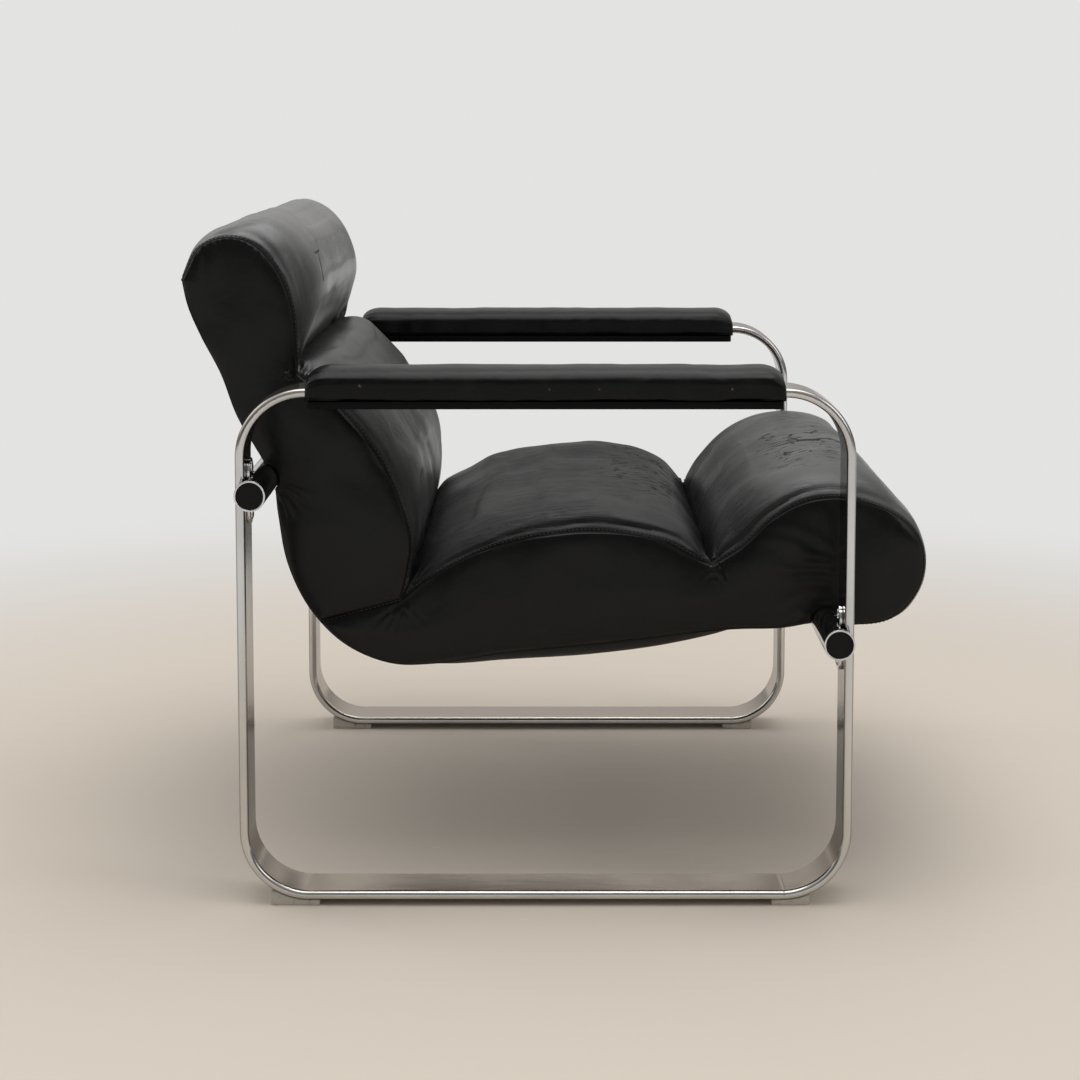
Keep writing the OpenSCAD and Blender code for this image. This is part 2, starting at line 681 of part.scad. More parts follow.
// A closed mesh between two grids of points: upper lies to the left of lower
module slab(upper, lower) {
    m = len(upper);
    n = len(upper[0]);
    size = m * n;
    points = concat([for (r = upper) each r], [for (r = lower) each r]);
    top = [for (j = [0:m - 2]) for (i = [0:n - 2])
        let (a = j * n + i) each [[a, a + n, a + n + 1], [a, a + n + 1, a + 1]]];
    bottom = [for (f = top) [f[2] + size, f[1] + size, f[0] + size]];
    rim = concat([for (i = [0:n - 2]) i], [for (j = [0:m - 2]) j * n + n - 1],
        [for (i = [n - 1:-1:1]) (m - 1) * n + i], [for (j = [m - 1:-1:1]) j * n]);
    edge = len(rim);
    sides = [for (k = [0:edge - 1])
        let (a = rim[k], b = rim[(k + 1) % edge])
        each a < b ? [[a, b, b + size], [a, b + size, a + size]]
            : [[a, b, a + size], [b, b + size, a + size]]];
    polyhedron(points = points, faces = concat(top, bottom, sides), convexity = 8);
}

module roll_cover(line, mid) {
    color([0.09, 0.09, 0.09]) placed()
        slab(roll_rows(line, mid, 0), roll_rows(line, mid, leather));
}

module roll_foam(line, mid, a, b) {
    color([0.85, 0.78, 0.5]) placed()
        roll_filling(line, mid, leather + fit, rear_stretch(a, b, foam_start, len(line)));
}

function roll_rows(line, mid, depth) =
    swollen_rows(line, line + fullness * (mid - line), depth, line == headrest_line ? [-1, 0] : undef);

module roll_filling(line, mid, depth, bed) {
    slab(roll_rows(line, mid, depth), straight_rows(bed));
}

// The front roll lies on the webbing up to a corner, and then against the end of
// the inner frame. It is pressed in where the front crossbar lies under it, and
// its leather follows the hollow.
front_corner = 10;
front_bed = let (n = front_columns - front_corner + 1, top = rear_at(1, foam_start),
                 low = rear_at(1, leather + fit))
    concat(rear_stretch(knee_station, 1, foam_start, front_corner),
        [for (k = [1:n - 1]) top + (low - top) * k / n]);

module front_roll_foam() {
    color([0.85, 0.78, 0.5]) placed() difference() {
        roll_filling(front_line, front_mid, leather + fit, front_bed);
        bar_channel(front, leather + fit, shell_half);
        bracket_slots();
    }
}

module front_roll_cover() {
    color([0.09, 0.09, 0.09]) placed() difference() {
        union() {
            slab(roll_rows(front_line, front_mid, 0), roll_rows(front_line, front_mid, leather));
            slice(-inner_half, 2 * inner_half) intersection() {
                translate([bar_x, front_bar_height]) circle(r = bar_radius + 2 * seat_gap + leather);
                translate([bar_x - bar_diameter, front_line[front_columns - 1][1] + leather / 2])
                    square(2 * bar_diameter);
            }
        }
        bar_channel(front, 0, shell_width);
        bracket_slots();
    }
}

// The room that a crossbar takes out of the padding, with a wall of leather round it
module bar_channel(end, wall, half) {
    bar_along_y(end * bar_x, bar_height(end), bar_radius + 2 * seat_gap + wall, -half, 2 * half);
}
module bracket_slots() {
    both_sides() for (end = [rear, front])
        slice(rail_inner_y - bracket_thickness - seat_gap, bracket_thickness + 2 * seat_gap)
            bracket_outline(end, seat_gap);
}

// A layer of the rear padding, between two depths; only its outer face swells
module rear_layer(a, b, outer, rise) {
    slab(straight_rows(rear_stretch(a, b, rear_pad_thickness - seat_gap, columns)),
        swollen_rows(rear_stretch(a, b, 0, columns), rear_mid(a, b, rise, columns), -outer,
            rear_inward(a), rear_inward(b)));
}

// A skin over the rear padding, the same thickness all over
module skin(a, b, rise) {
    line = rear_stretch(a, b, 0, columns);
    mid = rear_mid(a, b, rise, columns);
    slab(swollen_rows(line, mid, -leather, rear_inward(a), rear_inward(b)), swollen_rows(line, mid, 0));
}

module rear_foam() {
    color([0.85, 0.78, 0.5]) placed() difference() {
        rear_layer(0, lining_start_share, leather + fit, rear_crown);
        bar_channel(rear, leather + fit, shell_half);
        bracket_slots();
        both_sides() slice(rail_inner_y - seat_gap, rail_thickness + 2 * seat_gap)
            layer(0, 1, rail_start - seat_gap, rail_end, rear_count);
    }
}

module rear_cover() {
    color([0.09, 0.09, 0.09]) placed() difference() {
        union() {
            skin(0, lining_start_share, rear_crown);
            intersection() {
                rear_layer(0, lining_start_share, leather / 2, rear_crown);
                bar_channel(rear, leather, shell_half);
            }
        }
        bar_channel(rear, 0, shell_width);
        bracket_slots();
    }
}

module bottom_lining() {
    color([0.05, 0.05, 0.05]) placed() skin(lining_start_share, lining_end_share, lining_sag);
}

module front_underside_pad() {
    color([0.09, 0.09, 0.09]) placed() difference() {
        slice(-inner_half, 2 * inner_half)
            layer(lining_end_share, 1, 0, rear_pad_thickness - seat_gap, columns);
        bar_channel(front, 0, shell_width);
        bracket_slots();
    }
}

module side_panel(side, outline_points) {
    color([0.09, 0.09, 0.09]) placed() scale_y(side) difference() {
        slice(shell_half - side_panel_thickness, side_panel_thickness) polygon(outline_points);
        for (end = [rear, front]) bar_channel(end, 0, shell_width);
    }
}
panel_points = 27;
function without_first(p) = [for (i = [1:len(p) - 1]) p[i]];
function without_last(p) = [for (i = [0:len(p) - 2]) p[i]];
function back_panel_points() = concat(headrest_line, without_first(back_line),
    flipped(without_first(rear_stretch(0, side_seam_share, 0, panel_points))));
function seat_panel_points() = concat(seat_line, without_first(front_line),
    flipped(without_last(rear_stretch(side_seam_share, 1, 0, panel_points))));

side_frame(left);  // left_side_frame
side_frame(right);  // right_side_frame
crossbar(rear);  // rear_crossbar
crossbar(front);  // front_crossbar
crossbar_plugs(rear);  // rear_crossbar_plugs
crossbar_plugs(front);  // front_crossbar_plugs
mounting_plates(rear);  // rear_mounting_plates
mounting_plates(front);  // front_mounting_plates
plate_screws(rear);  // rear_plate_screws
plate_screws(front);  // front_plate_screws
plate_inserts(rear);  // rear_plate_inserts
plate_inserts(front);  // front_plate_inserts
glides(rear, rear_glide_length);  // rear_glides
glides(front, front_glide_length);  // front_glides
armrest_core(left);  // left_armrest_core
armrest_foam(left);  // left_armrest_foam
armrest_cover(left);  // left_armrest_cover
armrest_base(left);  // left_armrest_base
armrest_screws(left);  // left_armrest_screws
armrest_core(right);  // right_armrest_core
armrest_foam(right);  // right_armrest_foam
armrest_cover(right);  // right_armrest_cover
armrest_base(right);  // right_armrest_base
armrest_screws(right);  // right_armrest_screws
frame_rail(left);  // left_frame_rail
frame_rail(right);  // right_frame_rail
cross_member(0);  // headrest_cross_member
cross_member(1);  // lumbar_cross_member
cross_member(2);  // lower_cross_member
cross_member(3);  // front_cross_member
bar_brackets(rear);  // rear_bar_brackets
bar_brackets(front);  // front_bar_brackets
bracket_bolts();
bracket_nuts();
straps(back_web_shares, back_web_count);  // back_webbing
straps(seat_web_shares, seat_web_count);  // seat_webbing
clips(back_web_shares, back_web_count);  // back_webbing_clips
clips(seat_web_shares, seat_web_count);  // seat_webbing_clips
roll_foam(headrest_line, headrest_mid, 0, head_station);  // headrest_foam
roll_cover(headrest_line, headrest_mid);  // headrest_cover
roll_foam(back_line, back_mid, head_station, seat_station);  // back_foam
roll_cover(back_line, back_mid);  // back_cover
roll_foam(seat_line, seat_mid, seat_station, knee_station);  // seat_foam
roll_cover(seat_line, seat_mid);  // seat_cover
front_roll_foam();
front_roll_cover();
side_panel(left, back_panel_points());  // left_back_side_panel
side_panel(left, seat_panel_points());  // left_seat_side_panel
side_panel(right, back_panel_points());  // right_back_side_panel
side_panel(right, seat_panel_points());  // right_seat_side_panel
rear_foam();
rear_cover();
bottom_lining();
front_underside_pad();
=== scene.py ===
import bpy
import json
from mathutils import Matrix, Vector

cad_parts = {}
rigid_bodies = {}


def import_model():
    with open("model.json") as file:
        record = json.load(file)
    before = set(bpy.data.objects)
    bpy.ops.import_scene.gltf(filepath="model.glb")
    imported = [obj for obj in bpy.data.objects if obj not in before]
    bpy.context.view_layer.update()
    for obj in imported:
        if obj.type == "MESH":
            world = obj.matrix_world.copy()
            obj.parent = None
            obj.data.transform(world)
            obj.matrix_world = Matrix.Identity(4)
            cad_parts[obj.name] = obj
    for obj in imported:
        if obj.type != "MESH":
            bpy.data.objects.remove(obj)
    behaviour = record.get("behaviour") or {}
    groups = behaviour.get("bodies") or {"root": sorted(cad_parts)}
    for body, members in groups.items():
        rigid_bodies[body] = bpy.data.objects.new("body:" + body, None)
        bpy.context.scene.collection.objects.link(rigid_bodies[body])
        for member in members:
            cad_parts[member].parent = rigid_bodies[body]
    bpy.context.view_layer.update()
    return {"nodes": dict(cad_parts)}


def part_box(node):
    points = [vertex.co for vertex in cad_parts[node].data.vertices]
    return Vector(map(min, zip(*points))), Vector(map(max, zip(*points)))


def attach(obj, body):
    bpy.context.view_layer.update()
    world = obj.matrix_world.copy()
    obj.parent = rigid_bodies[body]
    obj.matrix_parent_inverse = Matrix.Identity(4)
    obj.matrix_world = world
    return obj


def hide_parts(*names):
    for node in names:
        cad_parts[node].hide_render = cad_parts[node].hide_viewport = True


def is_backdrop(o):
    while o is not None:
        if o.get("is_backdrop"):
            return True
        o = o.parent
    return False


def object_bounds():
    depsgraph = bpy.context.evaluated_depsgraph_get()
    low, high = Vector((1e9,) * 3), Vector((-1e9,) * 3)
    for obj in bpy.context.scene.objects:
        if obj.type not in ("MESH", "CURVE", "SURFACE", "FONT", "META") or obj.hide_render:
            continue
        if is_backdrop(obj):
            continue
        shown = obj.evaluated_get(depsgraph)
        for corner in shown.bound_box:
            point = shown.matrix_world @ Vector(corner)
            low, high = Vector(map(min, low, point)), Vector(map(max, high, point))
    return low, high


for leftover in list(bpy.data.objects):
    bpy.data.objects.remove(leftover)
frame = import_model()

import json
import math

import bmesh
import numpy as np
from mathutils import Vector
from mathutils.geometry import delaunay_2d_cdt

MM = 0.001

# The viewpoint of the photograph: at the chair's right side, a little above the
# armrests. Part of the look downwards is a shift, which keeps uprights upright.
def linked(name, data):
    """A new object in the scene."""
    made = bpy.data.objects.new(name, data)
    bpy.context.scene.collection.objects.link(made)
    return made


look_down = 5.545
camera_data = bpy.data.cameras.new("camera")
camera_data.lens = 72.695
camera_data.sensor_width = 36
camera_data.shift_x = -0.00995
camera_data.shift_y = -0.2
camera_data.clip_end = 60
camera = linked("camera", camera_data)
camera.location = (-0.0094, -2.615, 0.841)
camera.rotation_euler = (math.radians(90 - look_down), 0, 0)
bpy.context.scene.camera = camera


# Side frames: one closed loop each of flat oval steel tube, bent at four corners,
# welded in the bottom run, and polished before a satin chrome plating.
class Wire:
    """A socket of a node tree. Sums and products of wires add Math nodes."""

    def __init__(self, graph, socket):
        self.graph, self.socket = graph, socket

    def __add__(self, other):
        return self.graph.maths("ADD", self, other)

    def __sub__(self, other):
        return self.graph.maths("SUBTRACT", self, other)

    def __rsub__(self, other):
        return self.graph.maths("SUBTRACT", other, self)

    def __mul__(self, other):
        return self.graph.maths("MULTIPLY", self, other)

    def __truediv__(self, other):
        return self.graph.maths("DIVIDE", self, other)

    def __pow__(self, other):
        return self.graph.maths("POWER", self, other)

    def __neg__(self):
        return self.graph.maths("MULTIPLY", self, -1)

    def __abs__(self):
        return self.graph.maths("ABSOLUTE", self)

    __radd__ = __add__
    __rmul__ = __mul__


def rgba(colour):
    """A colour with full alpha, from a grey or from three numbers. A wire stays as it is."""
    if isinstance(colour, Wire):
        return colour
    return (*colour, 1) if isinstance(colour, tuple) else (colour, colour, colour, 1)


class Graph:
    """A node tree that is written as expressions."""

    def __init__(self, tree):
        self.tree = tree

    def node(self, kind, settings=None, sockets=None, out=0):
        """Adds a node: first its settings, then the values or links of its sockets."""
        made = self.tree.nodes.new(kind)
        for key, value in (settings or {}).items():
            setattr(made, key, value)
        for key, value in (sockets or {}).items():
            self.join(value, made.inputs[key])
        return Wire(self, made.outputs[out])

    def join(self, value, socket):
        if isinstance(value, Wire):
            self.tree.links.new(value.socket, socket)
        else:
            socket.default_value = value

    def maths(self, operation, *terms, clamp=False):
        return self.node("ShaderNodeMath", {"operation": operation, "use_clamp": clamp}, dict(enumerate(terms)))

    def most(self, first, *others):
        """The largest of some values."""
        for other in others:
            first = self.maths("MAXIMUM", first, other)
        return first

    def bell(self, value, centre, width):
        """1 at the centre, falling to 0 at a few widths from it."""
        return self.maths("EXPONENT", -(((value - centre) / width) ** 2))

    def step(self, value, low, high):
        """0 below low, 1 above high, and smooth between."""
        return self.node("ShaderNodeMapRange", {"interpolation_type": "SMOOTHSTEP"},
                         {"Value": value, "From Min": low, "From Max": high})

    def between(self, value, low, high, soft):
        """1 from low to high, and 0 outside."""
        return self.step(value, low - soft, low + soft) * self.step(-value, -high - soft, -high + soft)

    def colour(self, share, first, second):
        """A mix of two colours. A number stands for a grey."""
        return self.node("ShaderNodeMix", {"data_type": "RGBA"}, {0: share, 6: rgba(first), 7: rgba(second)}, out=2)

    def rays(self, *kinds):
        """1 for rays of the named kinds."""
        outputs = self.node("ShaderNodeLightPath").socket.node.outputs
        return self.most(*(Wire(self, outputs[f"Is {kind} Ray"]) for kind in kinds))

    def split(self, vector):
        return [Wire(self, s) for s in self.node("ShaderNodeSeparateXYZ", {}, {0: vector}).socket.node.outputs]


class Finish(Graph):
    """A material with one Principled surface, and the place of a point on the piece."""

    def __init__(self, name, **constants):
        self.material = bpy.data.materials.new(name)
        self.material.use_nodes = True
        super().__init__(self.material.node_tree)
        self.surface = self.tree.nodes["Principled BSDF"]
        self.place = self.node("ShaderNodeTexCoord", out="Object")
        self.x, self.y, self.z = self.split(self.place)
        for key, value in constants.items():
            self.set(key.replace("_", " ").title().replace("Ior", "IOR"), value)

    def set(self, socket, value):
        self.join(value, self.surface.inputs[socket])

    def paint(self, share, first, second):
        self.set("Base Color", self.colour(share, first, second))

    def area(self, **spans):
        """1 inside a box of X, Y and Z. Each span has its two ends and how soft they are."""
        return math.prod(self.between(getattr(self, axis), *span) for axis, span in spans.items())

    def noise(self, scale, detail=2.0, roughness=0.5, place=None, distortion=0.0):
        return self.node("ShaderNodeTexNoise", {}, {
            "Vector": place or self.place, "Scale": scale, "Detail": detail, "Roughness": roughness,
            "Distortion": distortion})

    def stretched(self, scale, place=None):
        """The place, drawn out along the axes, so that a pattern lies along one of them."""
        return self.node("ShaderNodeMapping", {}, {"Vector": place or self.place, "Scale": scale})

    def bump(self, height, distance, strength=1.0, normal=None):
        sockets = {"Height": height, "Distance": distance, "Strength": strength}
        if normal:
            sockets["Normal"] = normal
        return self.node("ShaderNodeBump", {}, sockets)


class Recipe(Graph):
    """A Geometry Nodes tree with named inputs, whose result is kept as a plain mesh."""

    kinds = {float: "NodeSocketFloat", bpy.types.Object: "NodeSocketObject"}

    def __init__(self, name, **sizes):
        super().__init__(bpy.data.node_groups.new(name, "GeometryNodeTree"))
        self.sizes = sizes
        self.tree.interface.new_socket("Mesh", in_out="OUTPUT", socket_type="NodeSocketGeometry")
        self.tree.interface.new_socket("Base", in_out="INPUT", socket_type="NodeSocketGeometry")
        for label, value in sizes.items():
            self.tree.interface.new_socket(label, in_out="INPUT", socket_type=self.kinds[type(value)])
        start = self.tree.nodes.new("NodeGroupInput")
        self.base = Wire(self, start.outputs["Base"])
        self.inputs = {label: Wire(self, start.outputs[label]) for label in sizes}

    def end(self, geometry, finish):
        real = self.node("GeometryNodeRealizeInstances", {}, {"Geometry": geometry})
        dressed = self.node("GeometryNodeSetMaterial", {}, {"Geometry": real, "Material": finish.material})
        self.join(dressed, self.tree.nodes.new("NodeGroupOutput").inputs["Mesh"])

    def made(self, name, base=None, even=False, **sizes):
        """Runs the tree on a mesh and returns an object with the result."""
        holder = linked(name, base or bpy.data.meshes.new(name + "_base"))
        modifier = holder.modifiers.new(self.tree.name, "NODES")
        modifier.node_group = self.tree
        for item in self.tree.interface.items_tree:
            if item.in_out == "INPUT" and item.name in self.sizes:
                modifier[item.identifier] = sizes.get(item.name, self.sizes[item.name])
        if even:
            holder.modifiers.new("even_shading", "WEIGHTED_NORMAL").keep_sharp = True
        settle(holder)
        return holder


def settle(holder):
    """Leaves an object with the mesh that its modifiers make."""
    graph = bpy.context.evaluated_depsgraph_get()
    result = bpy.data.meshes.new_from_object(holder.evaluated_get(graph), depsgraph=graph)
    holder.modifiers.clear()
    holder.data = result
    result.name = holder.name


def matt(name, mottle, tones, rough, fine, grain, **constants):
    """A plain finish of two mottled tones, varied roughness and a grain, with each noise's scale and detail."""
    finish = Finish(name, **constants)
    finish.paint(finish.noise(*mottle), *tones)
    finish.set("Roughness", rough[0] + finish.noise(*fine) * rough[1])
    finish.set("Normal", finish.bump(finish.noise(*grain), 0.05 * MM))
    return finish


def chrome(name, brightness=0.66, roughness=0.13, brushed=0.05):
    finish = Finish(name, metallic=1.0)
    smudge = finish.step(finish.noise(9, 4), 0.35, 0.75)
    haze = finish.noise(60, 3)
    finish.set("Roughness", roughness + smudge * brushed + haze * (brushed / 2))
    finish.paint(smudge, brightness, brightness * 0.88)
    return finish


def dressed(finish, *nodes):
    """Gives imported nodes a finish."""
    for node in nodes:
        materials = frame["nodes"][node].data.materials
        materials.clear()
        materials.append(finish.material)


def placed(piece, slot, *nodes):
    """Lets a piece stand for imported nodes."""
    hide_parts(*nodes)
    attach(piece, "root")


frame_low, frame_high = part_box("left_side_frame")
frame_y = (frame_low.y + frame_high.y) / 2
centre_x = (frame_low.x + frame_high.x) / 2
middle_z = (frame_low.z + frame_high.z) / 2
tube_thickness = 10 * MM
bend = 74 * MM
weld_x = 0.238
plating = chrome("satin_chrome_tube", 0.62, 0.14, 0.08)
# how far a point lies outside the middle line of the loop
beyond_x = abs(plating.x - centre_x) - ((frame_high.x - frame_low.x) / 2 - bend)
beyond_z = abs(plating.z - middle_z) - ((frame_high.z - frame_low.z) / 2 - bend)
in_bend = (plating.most(beyond_x, 0) ** 2 + plating.most(beyond_z, 0) ** 2) ** 0.5
in_run = plating.maths("MINIMUM", plating.most(beyond_x, beyond_z), 0)
outside = in_bend + in_run - (bend - tube_thickness / 2)
# painted reflections: the inner faces are painted darker, and warmer near the floor, and the outer corners are
# painted brown, as the reflection of the warm floor
bright = plating.colour(plating.step(plating.noise(9, 4), 0.35, 0.75), (0.66, 0.655, 0.64), (0.57, 0.565, 0.55))
painted_dark_reflection = plating.colour(plating.step(plating.z, 0.03, 0.1), (0.45, 0.38, 0.31), (0.21, 0.205, 0.2))
from_middle = abs(abs(plating.y) - frame_y)
painted_floor_reflection = plating.step(outside, 2.6 * MM, 4.4 * MM) * plating.step(from_middle, 24 * MM, 26 * MM)
bright = plating.colour(painted_floor_reflection * 0.8, bright, (0.2, 0.14, 0.09))
plating.paint(plating.step(-outside, 3.2 * MM, 4.8 * MM), bright, painted_dark_reflection)
weld = plating.bell(plating.x, weld_x, 1.1 * MM) * plating.step(-plating.z, -0.03, -0.02)
pits = plating.step(plating.noise(420, 1), 0.76, 0.8)
ripple = plating.noise(1, 2, 0.5, plating.stretched((12, 60, 12)))
plating.set("Normal", plating.bump(weld + ripple * 0.5 - pits * 0.3, 0.25 * MM))

loop = Recipe(
    "flat_oval_loop", Length=frame_high.x - frame_low.x, Height=frame_high.z - frame_low.z,
    Width=frame_high.y - frame_low.y, Thickness=tube_thickness, Bend=bend,
)
size = loop.inputs
route = loop.node("GeometryNodeCurvePrimitiveQuadrilateral", {},
                  {"Width": size["Length"] - size["Thickness"], "Height": size["Height"] - size["Thickness"]})
route = loop.node("GeometryNodeFilletCurve", {"mode": "POLY"},
                  {"Curve": route, "Count": 32, "Radius": size["Bend"] - size["Thickness"] * 0.5})
section = loop.node("GeometryNodeCurvePrimitiveQuadrilateral", {},
                    {"Width": size["Thickness"], "Height": size["Width"]})
section = loop.node("GeometryNodeFilletCurve", {"mode": "POLY"},
                    {"Curve": section, "Count": 9, "Radius": size["Thickness"] * 0.4995})
swept = loop.node("GeometryNodeCurveToMesh", {}, {"Curve": route, "Profile Curve": section})
swept = loop.node("GeometryNodeMergeByDistance", {}, {"Geometry": swept, "Distance": 0.00001})
upright = loop.node("GeometryNodeTransform", {}, {"Geometry": swept, "Rotation": (math.pi / 2, 0, 0)})
smooth_loop = loop.node("GeometryNodeSetShadeSmooth", {}, {0: upright})
loop.end(smooth_loop, plating)
for side, word in ((1, "left"), (-1, "right")):
    tube = loop.made(f"{word}_tube_loop", even=True)
    for vertex in tube.data.vertices:
        vertex.co += Vector((centre_x, side * frame_y, middle_z))
    placed(tube, "chromed_tube", f"{word}_side_frame")

# Crossbars: round steel tube, notched over the side frames, with an oblong plate
# at each end that two domed screws hold to the inner flat of the leg.
bar_finish = chrome("polished_chrome_bar", 0.7, 0.06, 0.05)
screw_finish = chrome("chrome_screw", 0.72, 0.1, 0.08)
weld_distance = 0.001 * MM


def shaded(mesh, angle):
    """Smooth shading, with the edges over an angle in degrees kept sharp."""
    mesh.polygons.foreach_set("use_smooth", [True] * len(mesh.polygons))
    mesh.set_sharp_from_angle(angle=math.radians(angle))


def eased(name, node, finish, width, steps=3):
    """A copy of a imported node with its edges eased."""
    work = bmesh.new()
    work.from_mesh(frame["nodes"][node].data)
    bmesh.ops.remove_doubles(work, verts=work.verts, dist=weld_distance)
    bmesh.ops.dissolve_limit(work, angle_limit=math.radians(0.4), verts=work.verts, edges=work.edges)
    sharp = [e for e in work.edges if len(e.link_faces) == 2 and e.calc_face_angle(0) > math.radians(30)]
    bmesh.ops.bevel(work, geom=sharp, offset=width, segments=steps, profile=0.5, affect="EDGES",
                    clamp_overlap=True, harden_normals=False)
    bmesh.ops.triangulate(work, faces=[f for f in work.faces if len(f.verts) > 4])
    mesh = bpy.data.meshes.new(name)
    work.to_mesh(mesh)
    work.free()
    shaded(mesh, 35)
    mesh.materials.append(finish.material)
    return linked(name, mesh)


for end in ("rear", "front"):
    placed(eased(f"{end}_bar", f"{end}_crossbar", bar_finish, 0.4 * MM, 2), "chromed_bar", f"{end}_crossbar")
    placed(eased(f"{end}_plates", f"{end}_mounting_plates", bar_finish, 0.8 * MM), "chromed_plate",
           f"{end}_mounting_plates")


def mesh_of(name, points, faces=(), edges=()):
    mesh = bpy.data.meshes.new(name)
    mesh.from_pydata(np.asarray(points, float).tolist(), edges, faces)
    return mesh


def solid(name, points, faces, finish, angle=40, lay=None):
    """A closed mesh with its faces turned outwards. Lay is each point's place on the flat leather."""
    mesh = mesh_of(name, points, faces)
    if lay is not None:
        mesh.attributes.new("lay", "FLOAT_VECTOR", "POINT").data.foreach_set("vector", np.ravel(lay).astype("f"))
    work = bmesh.new()
    work.from_mesh(mesh)
    bmesh.ops.remove_doubles(work, verts=work.verts, dist=weld_distance)
    bmesh.ops.recalc_face_normals(work, faces=work.faces)
    work.to_mesh(mesh)
    work.free()
    shaded(mesh, angle)
    mesh.materials.append(finish.material)
    return linked(name, mesh)


def lofted(rings):
    """Points and faces of a closed form through rings of points."""
    m, n = len(rings), len(rings[0])
    faces = [(j * n + i, (j + 1) * n + i, (j + 1) * n + (i + 1) % n, j * n + (i + 1) % n)
             for j in range(m - 1) for i in range(n)]
    return np.vstack(rings), faces + [tuple(range(n)), tuple(range((m - 1) * n, m * n))]


def turned(name, stops, finish, sides=24, hexagon_rings=0):
    """A turned part about +X, from pairs of place and radius. Its first rings are six-sided."""
    angles = np.linspace(0, 2 * math.pi, sides, endpoint=False)
    across_flats = math.cos(math.pi / 6) / np.cos((angles + math.pi / 6) % (math.pi / 3) - math.pi / 6)
    rings = []
    for k, (x, radius) in enumerate(stops):
        r = radius * (across_flats if k < hexagon_rings else 1)
        rings.append(np.column_stack([np.full(sides, x), r * np.cos(angles), r * np.sin(angles)]))
    return solid(name, *lofted(rings), finish)


head_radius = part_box("rear_plate_screws")[1].y - frame_y
dome = 1.9 * MM
socket = 1.9 * MM
shank_radius = 3 * MM
shank_length = 11.3 * MM
domed_screw = turned("domed_screw", [
    (0.4 * dome, socket), (0.96 * dome, socket), (dome, socket * 1.2), (0.9 * dome, head_radius * 0.6),
    (0.62 * dome, head_radius * 0.84), (0.3 * dome, head_radius * 0.96), (0.08 * dome, head_radius),
    (0, head_radius * 0.98), (0, shank_radius), (-shank_length, shank_radius),
], screw_finish, hexagon_rings=2)
set_screws = Recipe("set_screws", Part=domed_screw, Turn=0.0)
screw_shape = set_screws.node("GeometryNodeObjectInfo", {}, {"Object": set_screws.inputs["Part"]}, out="Geometry")
copies = set_screws.node("GeometryNodeInstanceOnPoints", {}, {
    "Points": set_screws.base, "Instance": screw_shape,
    "Rotation": set_screws.node("ShaderNodeCombineXYZ", {}, {2: set_screws.inputs["Turn"]}),
})
set_screws.end(copies, screw_finish)
for end, turn in (("rear", 0.0), ("front", math.pi)):
    low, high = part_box(f"{end}_plate_screws")
    flat_x = low.x + shank_length if end == "rear" else high.x - shank_length
    seats = mesh_of(f"{end}_screw_seats", [(flat_x, side * frame_y, z) for side in (1, -1)
                                           for z in (low.z + head_radius, high.z - head_radius)])
    placed(set_screws.made(f"{end}_leg_screws", seats, Turn=turn), "bright_screw", f"{end}_plate_screws")
bpy.data.objects.remove(domed_screw)
insert_finish = chrome("brass_insert", 0.5, 0.3, 0.1)
insert_finish.paint(insert_finish.noise(200), (0.55, 0.42, 0.2), (0.45, 0.34, 0.16))
dressed(insert_finish, "rear_plate_inserts", "front_plate_inserts")

# End plugs: moulded black plastic discs pressed into the crossbar ends, with a
# fine satin face and a turned-down edge.
plug_finish = matt("moulded_plug", (90, 3), (0.003, 0.007), (0.5, 0.2), (150, 2), (1400, 2), specular_ior_level=0.2)
dressed(plug_finish, "rear_crossbar_plugs", "front_crossbar_plugs")

# Glides: pale plastic pads, worn on their edges, stuck under the four corners
# and shaped to the bends of the tube.
glide_finish = Finish("worn_glide")
scuffs = glide_finish.step(glide_finish.noise(160, 5, 0.7), 0.5, 0.72)
glide_finish.paint(scuffs, (0.5, 0.47, 0.41), (0.24, 0.21, 0.17))
glide_finish.set("Roughness", 0.6 + scuffs * 0.25)
glide_finish.set("Normal", glide_finish.bump(glide_finish.noise(700, 3), 0.15 * MM))
for end in ("rear", "front"):
    placed(eased(f"{end}_floor_pads", f"{end}_glides", glide_finish, 0.7 * MM, 2), "glide", f"{end}_glides")

# Inner frame: flat steel rails on edge, round cross members, brackets bolted to
# the crossbars, all lacquered dark grey, with plain zinc-plated bolts and nuts.
lacquer = matt("grey_lacquered_steel", (40, 4), ((0.05, 0.05, 0.055), (0.1, 0.1, 0.105)), (0.45, 0.15),
               (120, 2), (900, 2), metallic=0.4)
dressed(lacquer, "left_frame_rail", "right_frame_rail",
        *(f"{where}_cross_member" for where in ("headrest", "lumbar", "lower", "front")))
for end in ("rear", "front"):
    placed(eased(f"{end}_welded_brackets", f"{end}_bar_brackets", lacquer, 0.8 * MM, 2), "frame_steel",
           f"{end}_bar_brackets")
zinc = chrome("zinc_plated", 0.5, 0.32, 0.15)
dressed(zinc, "bracket_bolts", "bracket_nuts", "back_webbing_clips", "seat_webbing_clips")

# Outline of the shell: points in X and Z that were read off the side view, as
# shares of the distance between the crossbars, joined by a smooth curve.
low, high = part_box("rear_crossbar")
bar_radius = (high.z - low.z) / 2
bar_clear = bar_radius + 0.6 * MM
rear_bar, front_bar = (np.array([(low.x + high.x) / 2, (low.z + high.z) / 2])
                       for low, high in (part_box("rear_crossbar"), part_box("front_crossbar")))
shell_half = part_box("left_back_side_panel")[1].y
inner_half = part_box("headrest_cover")[1].y


def outline(shares):
    """Points in X and Z from shares of the distance between the two crossbars."""
    s = np.array(shares, float)
    return np.stack([
        rear_bar[0] + s[:, 0] * (front_bar[0] - rear_bar[0]),
        front_bar[1] + s[:, 1] * (rear_bar[1] - front_bar[1]),
    ], 1)


